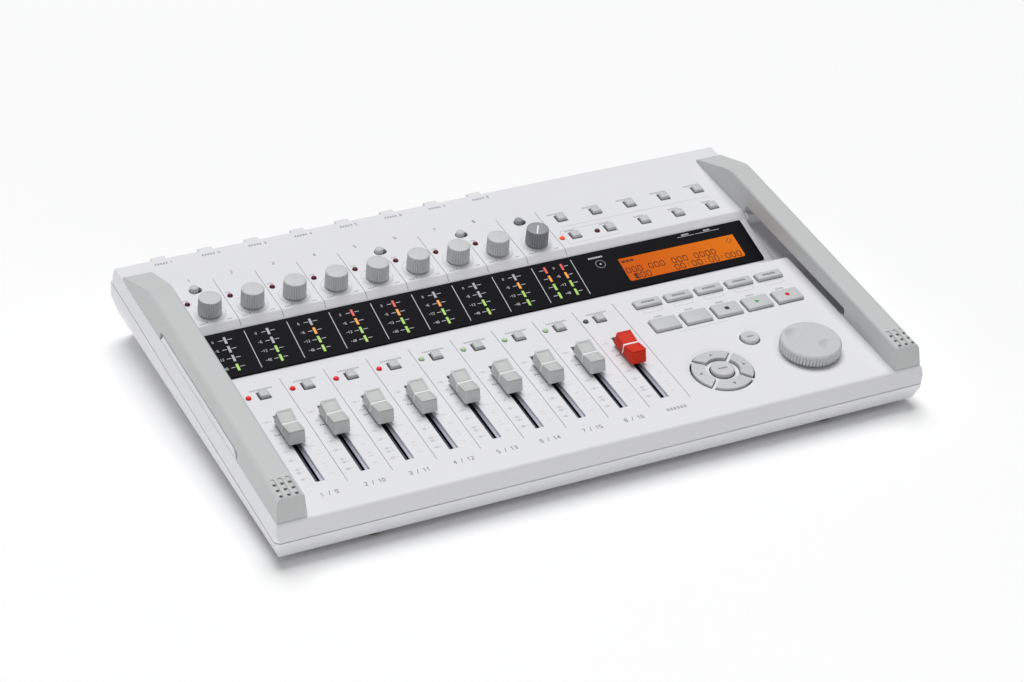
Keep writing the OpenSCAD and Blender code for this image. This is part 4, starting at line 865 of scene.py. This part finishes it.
class Print:
    """Flat marks in one ink on one surface, gathered in one thin piece."""

    LIFT = 0.03
    SINK = 0.12
    BLOCK_W = 0.62
    BLOCK_GAP = 0.3

    def __init__(self, name, ink, matrix, level, slot, body="case"):
        self.name, self.ink, self.matrix, self.level = name, ink, matrix, level
        self.slot, self.body = slot, body
        self.mesh = bmesh.new()

    def shape(self, points):
        """A flat mark with that outline."""
        low = [self.mesh.verts.new((x, y, self.level - self.SINK)) for x, y in points]
        high = [self.mesh.verts.new((x, y, self.level + self.LIFT)) for x, y in points]
        self.mesh.faces.new(high)
        self.mesh.faces.new(list(reversed(low)))
        count = len(points)
        for k in range(count):
            self.mesh.faces.new((low[k], low[(k + 1) % count], high[(k + 1) % count], high[k]))

    def bar(self, x, y, w, d):
        """A bar of that width and depth about a place."""
        left, right, front, rear = x - w / 2, x + w / 2, y - d / 2, y + d / 2
        self.shape([(left, front), (right, front), (right, rear), (left, rear)])

    def arc(self, x, y, r, line, start=0.0, end=360.0, steps=72):
        """A ring or an arc of that radius and line width."""
        angles = [math.radians(start + (end - start) * k / steps) for k in range(steps + 1)]
        for a, b in zip(angles, angles[1:]):
            inner, outer = r - line / 2, r + line / 2
            self.shape([(x + inner * math.cos(a), y + inner * math.sin(a)),
                        (x + outer * math.cos(a), y + outer * math.sin(a)),
                        (x + outer * math.cos(b), y + outer * math.sin(b)),
                        (x + inner * math.cos(b), y + inner * math.sin(b))])

    def box(self, x, y, w, d, line, r):
        """The outline of a rounded rectangle."""
        for side in (-1, 1):
            self.bar(x, y + side * d / 2, w - 2 * r, line)
            self.bar(x + side * w / 2, y, line, d - 2 * r)
        for k, (sx, sy) in enumerate(((1, 1), (-1, 1), (-1, -1), (1, -1))):
            self.arc(x + sx * (w / 2 - r), y + sy * (d / 2 - r), r, line, 90 * k, 90 * k + 90, 6)

    def caption(self, x, y, word):
        """A row of small plain blocks near a place, where a word would stand."""
        right, back, count, height = word
        wide = self.BLOCK_W * height
        pitch = wide + self.BLOCK_GAP * height
        for k in range(count):
            self.bar(x + right + pitch * (k - (count - 1) / 2), y + back, wide, height)

    def number(self, text, x, y, height, align=0.0, widen=1.0):
        """A plain number about a place; align moves it left or right by a share of its width."""
        for outline in digits(text, height, align, widen):
            self.shape([(x + px, y + py) for px, py in outline])

    def done(self):
        """Makes the piece."""
        piece(self.name, self.mesh, self.matrix, self.body, self.ink, smooth=False)


# Lines of the plain digits on a grid 2 wide and 4 high, each through a row of points
STROKES = {
    "0": [[(0.5, 0), (1.5, 0), (2, 0.7), (2, 3.3), (1.5, 4), (0.5, 4), (0, 3.3), (0, 0.7), (0.5, 0)]],
    "1": [[(1, 0), (1, 4), (0.3, 3.2)]],
    "2": [[(0, 4), (2, 4), (2, 2.2), (0, 0), (2, 0)]],
    "3": [[(0, 4), (2, 4), (2, 0), (0, 0)], [(0.5, 2), (2, 2)]],
    "4": [[(1.6, 0), (1.6, 4), (0, 1.3), (2, 1.3)]],
    "5": [[(2, 4), (0, 4), (0, 2.2), (2, 2.2), (2, 0), (0, 0)]],
    "6": [[(2, 4), (0, 4), (0, 0), (2, 0), (2, 2.2), (0, 2.2)]],
    "7": [[(0, 4), (2, 4), (0.8, 0)]],
    "8": [[(0, 0), (2, 0), (2, 4), (0, 4), (0, 0)], [(0, 2.1), (2, 2.1)]],
    "9": [[(0, 0), (2, 0), (2, 4), (0, 4), (0, 1.9), (2, 1.9)]],
    "-": [[(0.2, 2), (1.8, 2)]],
    "+": [[(0.2, 2), (1.8, 2)], [(1, 1.2), (1, 2.8)]],
    "/": [[(0.3, -0.4), (1.7, 4.4)]],
    ":": [[(1, 1.1), (1, 1.3)], [(1, 2.7), (1, 2.9)]],
    " ": [],
}
STROKE_W = 0.55
GRID_W = 2
GRID_H = 4
SIGN_GAP = 1.1


def digits(text, height, align, widen):
    """Outlines of a number's strokes, about its middle."""
    unit = height / GRID_H
    advance = (GRID_W + SIGN_GAP) * unit * widen
    total = advance * len(text) - SIGN_GAP * unit * widen
    left = -total * (0.5 - align)
    outlines = []
    for k, sign in enumerate(text):
        sign_x = left + k * advance
        for line in STROKES[sign]:
            points = [Vector((sign_x + x * unit * widen, (y - GRID_H / 2) * unit)) for x, y in line]
            for a, b in zip(points, points[1:]):
                along = (b - a).normalized() * STROKE_W * unit / 2
                across = Vector((-along.y, along.x))
                start, end = a - along, b + along
                outlines.append([start - across, end - across, end + across, start + across])
    return outlines


# Channel lines, fader scales and numbers on the panel
DIVIDER_OFFSET = 12.74
FRONT_DIVIDER = (-96.2, -6.9)
REAR_DIVIDER = (49.4, 88.0)
SWITCH_NEAR = 6.0
SWITCH_CLEAR = 10.0
RAMP_FALL = math.radians(37.9)
RAMP_LINE = 4.2
SCALE_Y = (-38.6, -46.0, -57.4, -64.2, -71.5, -79.3, -81.9, -87.4)
SCALE_TEXT = ("+10", "+5", "-5", "-10", "-20", "-40", "-50", "-60")
ZERO_Y = -50.2
TICK_X = 7.2
LABEL_X = -6.6
LEFT_TICK_X = -5.2
NUMBER_Y = -101.5
NUMBER_X = 0.6
NUMBER_H = 2.5
CHANNEL_NUMBER_Y = 91.0
CHANNEL_NUMBER_X = 0.2
CHANNEL_NUMBER_H = 2.2
INPUT_Y = 111.0
INPUT_X = -155.6
INPUT_PITCH = 27.4
INPUT_H = 1.9
DIVIDER_W = 0.28
FINE_LINE = 0.3
TICK_W = 2.3
LEFT_TICK_W = 1.6
SCALE_H = 1.35
ZERO_H = 1.2
ZERO_TICK = (1.5, 0.5)
RIGHT_ALIGN = -0.5
KNOB_RING_R = 8.65
KNOB_MARK_R = 9.0
KNOB_MARK = (0.5, 1.5)
KNOB_MARK_TURN = math.radians(240)
# Captions: how far to the right of a place and behind it, how many blocks, and their height
KNOB_WORDS = ((-7.4, -8.6, 4, 1.0), (8.2, -8.6, 3, 1.0))
TRACK_WORD = (0.3, 5.2, 11, 1.25)
INPUT_WORD = (-6.0, 0, 5, 1.7)
PEAK_WORD = (0, 3.4, 4, 0.85)
MASTER_WORD = (1.4, 0, 6, 2.2)

dark = Print("panel_print", INK_DARK, PANEL, PANEL_Z, "knob_dark")
soft = Print("panel_soft_print", INK_SOFT, PANEL, PANEL_Z, "knob_dark")
bold = Print("panel_bold_print", INK_BOLD, PANEL, PANEL_Z, "knob_dark")
pale = Print("panel_pale_print", INK_PALE, PANEL, PANEL_Z, "handle_grey")
RAMP = PANEL @ Matrix.Translation((0, REAR_DIVIDER[0], PANEL_Z)) @ Matrix.Rotation(RAMP_FALL, 4, "X")
ramp_lines = Print("ramp_print", INK_DARK, RAMP, 0.0, "knob_dark")
switch_places = [middle(name) for name in switch_nodes]
divider_xs = [channel_xs[0] + DIVIDER_OFFSET + 2 * half_pitch * i for i in range(CHANNELS + 1)]
for x in divider_xs:
    rear_ends = [place.y - SWITCH_CLEAR for place in switch_places if abs(place.x - x) < SWITCH_NEAR]
    rear_end = min(rear_ends + [REAR_DIVIDER[1]])
    for start, end in (FRONT_DIVIDER, (REAR_DIVIDER[0], rear_end)):
        dark.bar(x, (start + end) / 2, DIVIDER_W, end - start)
    ramp_lines.bar(x, -RAMP_LINE / 2, DIVIDER_W, RAMP_LINE)
ramp_lines.done()
for i, x in enumerate(channel_xs):
    for y, text in zip(SCALE_Y, SCALE_TEXT):
        pale.bar(x + TICK_X, y, TICK_W, FINE_LINE)
        pale.bar(x + LEFT_TICK_X, y, LEFT_TICK_W, FINE_LINE)
        soft.number(text, x + LABEL_X, y, SCALE_H, RIGHT_ALIGN)
    bold.number("0", x + LABEL_X, ZERO_Y, ZERO_H, RIGHT_ALIGN)
    for tick in (TICK_X, LEFT_TICK_X):
        bold.bar(x + tick, ZERO_Y, *ZERO_TICK)
    soft.caption(x, TRACK_Y, TRACK_WORD)
    knob_x = knob_xs[i]
    pale.arc(knob_x, knob_y, KNOB_RING_R, FINE_LINE)
    mark_x = knob_x + KNOB_MARK_R * math.cos(KNOB_MARK_TURN)
    dark.bar(mark_x, knob_y + KNOB_MARK_R * math.sin(KNOB_MARK_TURN), *KNOB_MARK)
    for word in KNOB_WORDS:
        soft.caption(knob_x, knob_y, word)
for i in range(CHANNELS):
    pair = "%d / %d" % (i + 1, i + 1 + CHANNELS)
    dark.number(pair, channel_xs[i] + NUMBER_X, NUMBER_Y, NUMBER_H)
    dark.number(str(i + 1), channel_xs[i] + CHANNEL_NUMBER_X, CHANNEL_NUMBER_Y, CHANNEL_NUMBER_H)
    input_x = INPUT_X + INPUT_PITCH * i
    dark.number(str(i + 1), input_x, INPUT_Y, INPUT_H)
    soft.caption(input_x, INPUT_Y, INPUT_WORD)
    soft.caption(channel_xs[i] - LAMP_OFFSET, knob_y + PEAK_BACK, PEAK_WORD)
soft.caption(channel_xs[-1], NUMBER_Y, MASTER_WORD)

# Captions and outlines round the keys on the right
transport_xs = [middle(name).x for name in TRANSPORT_NODES]
transport_y = middle("rewind_key").y
marker_y = middle("marker_keys").y
TRANSPORT_WORD = (0, 8.4, 4, 1.4)
MENU_UPPER_WORD = (-1.45, 5.0, 8, 1.4)
MENU_LOWER_WORD = (-1.45, 5.0, 5, 1.4)
MENU_LINE_FORWARD = 8.2
MENU_LINE_OVER = 8
TRANSPORT_LINE_X = 10
TRANSPORT_LINE_FORWARD = 8.3
TRANSPORT_LINE_W = 30
# Boxes: places from their keys, then width, depth, line and corner radius
MARKER_BOX_X = 0.2
MARKER_BOX_FORWARD = 6.0
MARKER_BOX = (11.5, 3.0, FINE_LINE, 0.6)
STATUS_BOX_LEFT = 2
STATUS_BOX_FORWARD = 0.2
STATUS_BOX = (32, 13, FINE_LINE, 1)
for x in transport_xs:
    pale.box(x + MARKER_BOX_X, marker_y - MARKER_BOX_FORWARD, *MARKER_BOX)
    soft.caption(x, transport_y, TRANSPORT_WORD)
for x in menu_xs:
    soft.caption(x, menu_upper_y, MENU_UPPER_WORD)
    soft.caption(x, menu_lower_y, MENU_LOWER_WORD)
menu_line_w = menu_xs[-1] - menu_xs[0] + MENU_LINE_OVER
pale.bar((menu_xs[0] + menu_xs[-1]) / 2, menu_upper_y - MENU_LINE_FORWARD, menu_line_w, FINE_LINE)
transport_line_x = (transport_xs[0] + transport_xs[1]) / 2 + TRANSPORT_LINE_X
pale.bar(transport_line_x, transport_y - TRANSPORT_LINE_FORWARD, TRANSPORT_LINE_W, FINE_LINE)
status_box_x = (menu_xs[0] + menu_xs[1]) / 2 - STATUS_BOX_LEFT
pale.box(status_box_x, menu_lower_y - STATUS_BOX_FORWARD, *STATUS_BOX)
for mark_set in (dark, soft, bold, pale):
    mark_set.done()


def key_mark(name, node, ink, outline):
    """A small mark on top of a key, with that outline about the key's middle."""
    low, high = above_panel(node)
    place = moved((low.x + high.x) / 2, (low.y + high.y) / 2)
    mark_print = Print(name, ink, place, high.z, "knob_dark", node)
    mark_print.shape(outline)
    mark_print.done()


SQUARE = [(-1.3, -1.3), (1.3, -1.3), (1.3, 1.3), (-1.3, 1.3)]
TRIANGLE = [(-1.2, -1.4), (1.5, 0), (-1.2, 1.4)]
DOT_R = 1.4
DOT_STEPS = 24
dot_turns = [math.tau * k / DOT_STEPS for k in range(DOT_STEPS)]
DOT = [(DOT_R * math.cos(turn), DOT_R * math.sin(turn)) for turn in dot_turns]
key_mark("stop_mark", "stop_key", INK_BOLD, SQUARE)
key_mark("play_mark", "play_key", INK_GREEN, TRIANGLE)
key_mark("record_mark", "record_key", INK_RED, DOT)

MARKER_WORD = (0, 0, 6, 1.5)
ROUND_WORDS = {"enter_key": (0, 0, 5, 1.1), "exit_key": (0, 0, 4, 1.1)}
level = above_panel("marker_keys")[1].z
key_words = Print("marker_key_words", INK_DARK, PANEL, level, "knob_dark", "marker_keys")
for low, high in islands("marker_keys"):
    key_words.caption((low.x + high.x) / 2, (low.y + high.y) / 2, MARKER_WORD)
key_words.done()
for round_node, word in ROUND_WORDS.items():
    place = middle(round_node)
    level = above_panel(round_node)[1].z - ROUND_KEY_HOLLOW
    key_words = Print(round_node + "_words", INK_DARK, PANEL, level, "knob_dark", round_node)
    key_words.caption(place.x, place.y, word)
    key_words.done()


# Arrows on the cursor ring, each pointing outwards and lying along the fall of its key's top
ARROW = [(-0.8, -1.0), (1.0, 0), (-0.8, 1.0)]


def cursor_mark(node, turn):
    """A small arrow in the middle of a cursor key."""
    inner, outer, top = ring_size(node)
    fall = math.atan2(ARC_FALL, outer - inner)
    place = moved(pad.x, pad.y, top - ARC_FALL / 2, turn) @ Matrix.Translation(((inner + outer) / 2, 0, 0))
    arrow = Print(node + "_mark", INK_DARK, place @ Matrix.Rotation(fall, 4, "Y"), 0.0, "knob_dark", node)
    arrow.shape(ARROW)
    arrow.done()


for quarter, cursor_node in enumerate(CURSOR_NODES):
    cursor_mark(cursor_node, 90 * quarter)

# Marks on the display strip
LCD_LINE_S = 12.2
LCD_LINE_T = 0.25
BAR_TICK_X = 2.6
BAR_TICK = (2.6, 0.32)
BAR_TEXT_X = -7.0
BAR_TEXT_H = 1.5
STRIP_DIVIDER_S = -0.15
STRIP_DIVIDER = (0.4, 26.5)
# Lines over the display: place from its left edge, length, and the caption above
LCD_LINES = ((46.6, 10.7, (0, 1.2, 6, 0.9)), (60.6, 15.5, (0, 1.2, 5, 0.9)))
ACCESS_WORD = (-1.0, 5.2, 9, 1.1)
ACCESS_DOT = 0.4
ACCESS_RING = (2.8, 0.55)
strip_white = Print("strip_print", INK_WHITE, STRIP, 0.0, "handle_grey")
BAR_TEXT = ("0", "-6", "-12", "-48")
for i in range(CHANNELS + 1):
    columns = [meter_xs[i]] if i < CHANNELS else meter_xs[i:]
    x = sum(columns) / len(columns)
    for k, text in enumerate(BAR_TEXT):
        s = BAR_S - BAR_PITCH * k
        for column in columns:
            for side in (-1, 1):
                if i == CHANNELS and (column - x) * side < 0:
                    continue
                strip_white.bar(column + side * BAR_TICK_X, s, *BAR_TICK)
        strip_white.number(text, x + BAR_TEXT_X if i < CHANNELS else x, s, BAR_TEXT_H)
for x in divider_xs:
    strip_white.bar(x, STRIP_DIVIDER_S, *STRIP_DIVIDER)
for reach, length, word in LCD_LINES:
    strip_white.bar(lcd_low.x + reach, LCD_LINE_S, length, LCD_LINE_T)
    strip_white.caption(lcd_low.x + reach, LCD_LINE_S, word)
strip_white.caption(access.x, access.y, ACCESS_WORD)
strip_white.shape([(access.x + ACCESS_DOT * x, access.y + ACCESS_DOT * y) for x, y in DOT])
strip_white.done()
access_ring = Print("access_ring", INK_GREY, STRIP, 0.0, "handle_grey")
access_ring.arc(access.x, access.y, *ACCESS_RING)
access_ring.done()

# Digits and blocks on the display: x from its left edge, s below its top edge
LCD_ROWS = (9.4, 14.4)
LCD_DIGIT = 3.7
LCD_WIDEN = 1.27
LCD_CURSOR = (5.0, 2.0, 3.4)
LCD_BLOCKS = 3
LCD_BLOCK = (2.1, 1.7)
LCD_BLOCK_X = 2.2
LCD_BLOCK_PITCH = 2.7
LCD_BLOCK_S = 2.6
LCD_STAR = Vector((70.0, 4.0))
LCD_STAR_R = 1.4
LCD_STAR_DOT = 0.85
LCD_TEXT = ((0, 6.0, "000"), (0, 20.3, "000"), (0, 44.2, "000 0000"),
            (1, 9.3, "000"), (1, 51.2, "00:00:00:000"))
ink = Print("display_digits", INK_LCD, STRIP, lcd_high.z, "window_black")
for row, reach, text in LCD_TEXT:
    ink.number(text, lcd_low.x + reach, lcd_high.y - LCD_ROWS[row], LCD_DIGIT, 0.0, LCD_WIDEN)
ink.bar(lcd_low.x + LCD_CURSOR[0], lcd_high.y - LCD_ROWS[1], *LCD_CURSOR[1:])
for k in range(LCD_BLOCKS):
    ink.bar(lcd_low.x + LCD_BLOCK_X + LCD_BLOCK_PITCH * k, lcd_high.y - LCD_BLOCK_S, *LCD_BLOCK)
for turn in (math.tau * k / 4 for k in range(4)):
    star_x = lcd_low.x + LCD_STAR.x + LCD_STAR_R * math.cos(turn)
    star_y = lcd_high.y - LCD_STAR.y + LCD_STAR_R * math.sin(turn)
    ink.bar(star_x, star_y, LCD_STAR_DOT, LCD_STAR_DOT)
ink.done()

# Rounded lower corners of the display's opening
CORNER_R = 1.5
corners = Print("display_corners", WINDOW_BLACK, STRIP, lcd_high.z, "window_black")
for side, edge in ((1, lcd_low.x), (-1, lcd_high.x)):
    bend = [(edge + side * CORNER_R * (1 - math.sin(math.radians(turn))),
             lcd_low.y + CORNER_R * (1 - math.cos(math.radians(turn)))) for turn in range(0, 91, 15)]
    corners.shape([(edge, lcd_low.y)] + bend)
corners.done()


# Floor, light and camera; the floor and the lamps are placed in metres

FLOOR_HALF = 6
FLOOR_SCALE = 3.0
SKY_COLOUR = (0.98, 0.99, 1.0, 1.0)
SKY_STRENGTH = 0.23
AIM = Vector((0, 0, 0.02))
CEILING_PLACE = (0.1, 0.33, 1.0)
CEILING_POWER = 2.42
CEILING_SPREAD = 42.0
FILL_H = 0.36
# Low lamps: name, place, width and power
FILLS = (("front fill", (-0.5, -1.7, 0.2), 1.8, 5.0), ("left fill", (-1.8, -0.2, 0.2), 1.6, 5.2))


def studio():
    """A pale floor, a wide soft light from above, low fills in front and at the left, and an even sky."""
    mesh = bmesh.new()
    bmesh.ops.create_grid(mesh, x_segments=1, y_segments=1, size=FLOOR_HALF)
    data = bpy.data.meshes.new("floor")
    mesh.to_mesh(data)
    mesh.free()
    floor = bpy.data.objects.new("floor", data)
    bpy.context.scene.collection.objects.link(floor)
    m = Nodes("floor paper")
    m.feed("Base Color", m.between(m.noise(FLOOR_SCALE), tone(253, 253, 253), tone(255, 255, 255)))
    m.set(Roughness=0.9, Specular_IOR_Level=0.1)
    data.materials.append(m.material)

    world = bpy.data.worlds.new("sky")
    world.use_nodes = True
    sky = world.node_tree.nodes["Background"]
    sky.inputs["Color"].default_value = SKY_COLOUR
    sky.inputs["Strength"].default_value = SKY_STRENGTH
    bpy.context.scene.world = world

    ceiling("ceiling", CEILING_PLACE, CEILING_POWER, CEILING_SPREAD)
    for name, place, wide, power in FILLS:
        low_fill(name, place, wide, power)


def set_lamp(name, kind, place):
    """A lamp that looks at the object from a place."""
    data = bpy.data.lights.new(name, kind)
    obj = bpy.data.objects.new(name, data)
    obj.location = place
    obj.rotation_euler = (AIM - Vector(place)).to_track_quat("-Z", "Y").to_euler()
    bpy.context.scene.collection.objects.link(obj)
    return data


def ceiling(name, place, power, spread):
    """An even light from one side of the sky, soft by its spread in degrees."""
    data = set_lamp(name, "SUN", place)
    data.energy = power
    data.angle = math.radians(spread)


def low_fill(name, place, wide, power):
    """A long low soft lamp, which lights upright faces more than the floor."""
    data = set_lamp(name, "AREA", place)
    data.shape = "RECTANGLE"
    data.size = wide
    data.size_y = FILL_H
    data.energy = power


# The camera in the panel's frame, as fitted to the photograph
PHOTO_W = 1024
PHOTO_H = 682
FOCAL_PIXELS = 2801.7
SENSOR = 36.0
CAMERA_AZIMUTH = math.radians(-29.35)
CAMERA_ELEVATION = math.radians(36.12)
CAMERA_ROLL = math.radians(5.48)
CAMERA_SHIFT = (0.66, -3.85)
CAMERA_DISTANCE = 1524.1


def camera():
    """The camera at the photograph's angle."""
    a, e, r = CAMERA_AZIMUTH, CAMERA_ELEVATION, CAMERA_ROLL
    right = Vector((math.cos(a), math.sin(a), 0))
    back = Vector((math.sin(a) * math.cos(e), -math.cos(a) * math.cos(e), math.sin(e)))
    up = back.cross(right)
    turned_right = right * math.cos(r) + up * math.sin(r)
    turned_up = up * math.cos(r) - right * math.sin(r)
    place = back * CAMERA_DISTANCE - turned_right * CAMERA_SHIFT[0] - turned_up * CAMERA_SHIFT[1]
    axes = Matrix((turned_right, turned_up, back)).transposed().to_4x4()
    matrix = PANEL @ Matrix.Translation(place) @ axes
    data = bpy.data.cameras.new("camera")
    data.sensor_width = SENSOR
    data.lens = FOCAL_PIXELS / PHOTO_W * SENSOR
    obj = bpy.data.objects.new("camera", data)
    turned = matrix.to_quaternion().to_matrix().to_4x4()
    obj.matrix_world = Matrix.Translation(matrix.translation * MM) @ turned
    bpy.context.scene.collection.objects.link(obj)
    bpy.context.scene.camera = obj


studio()
camera()
scene = bpy.context.scene
scene.render.resolution_x = PHOTO_W
scene.render.resolution_y = PHOTO_H
scene.view_settings.view_transform = "Standard"
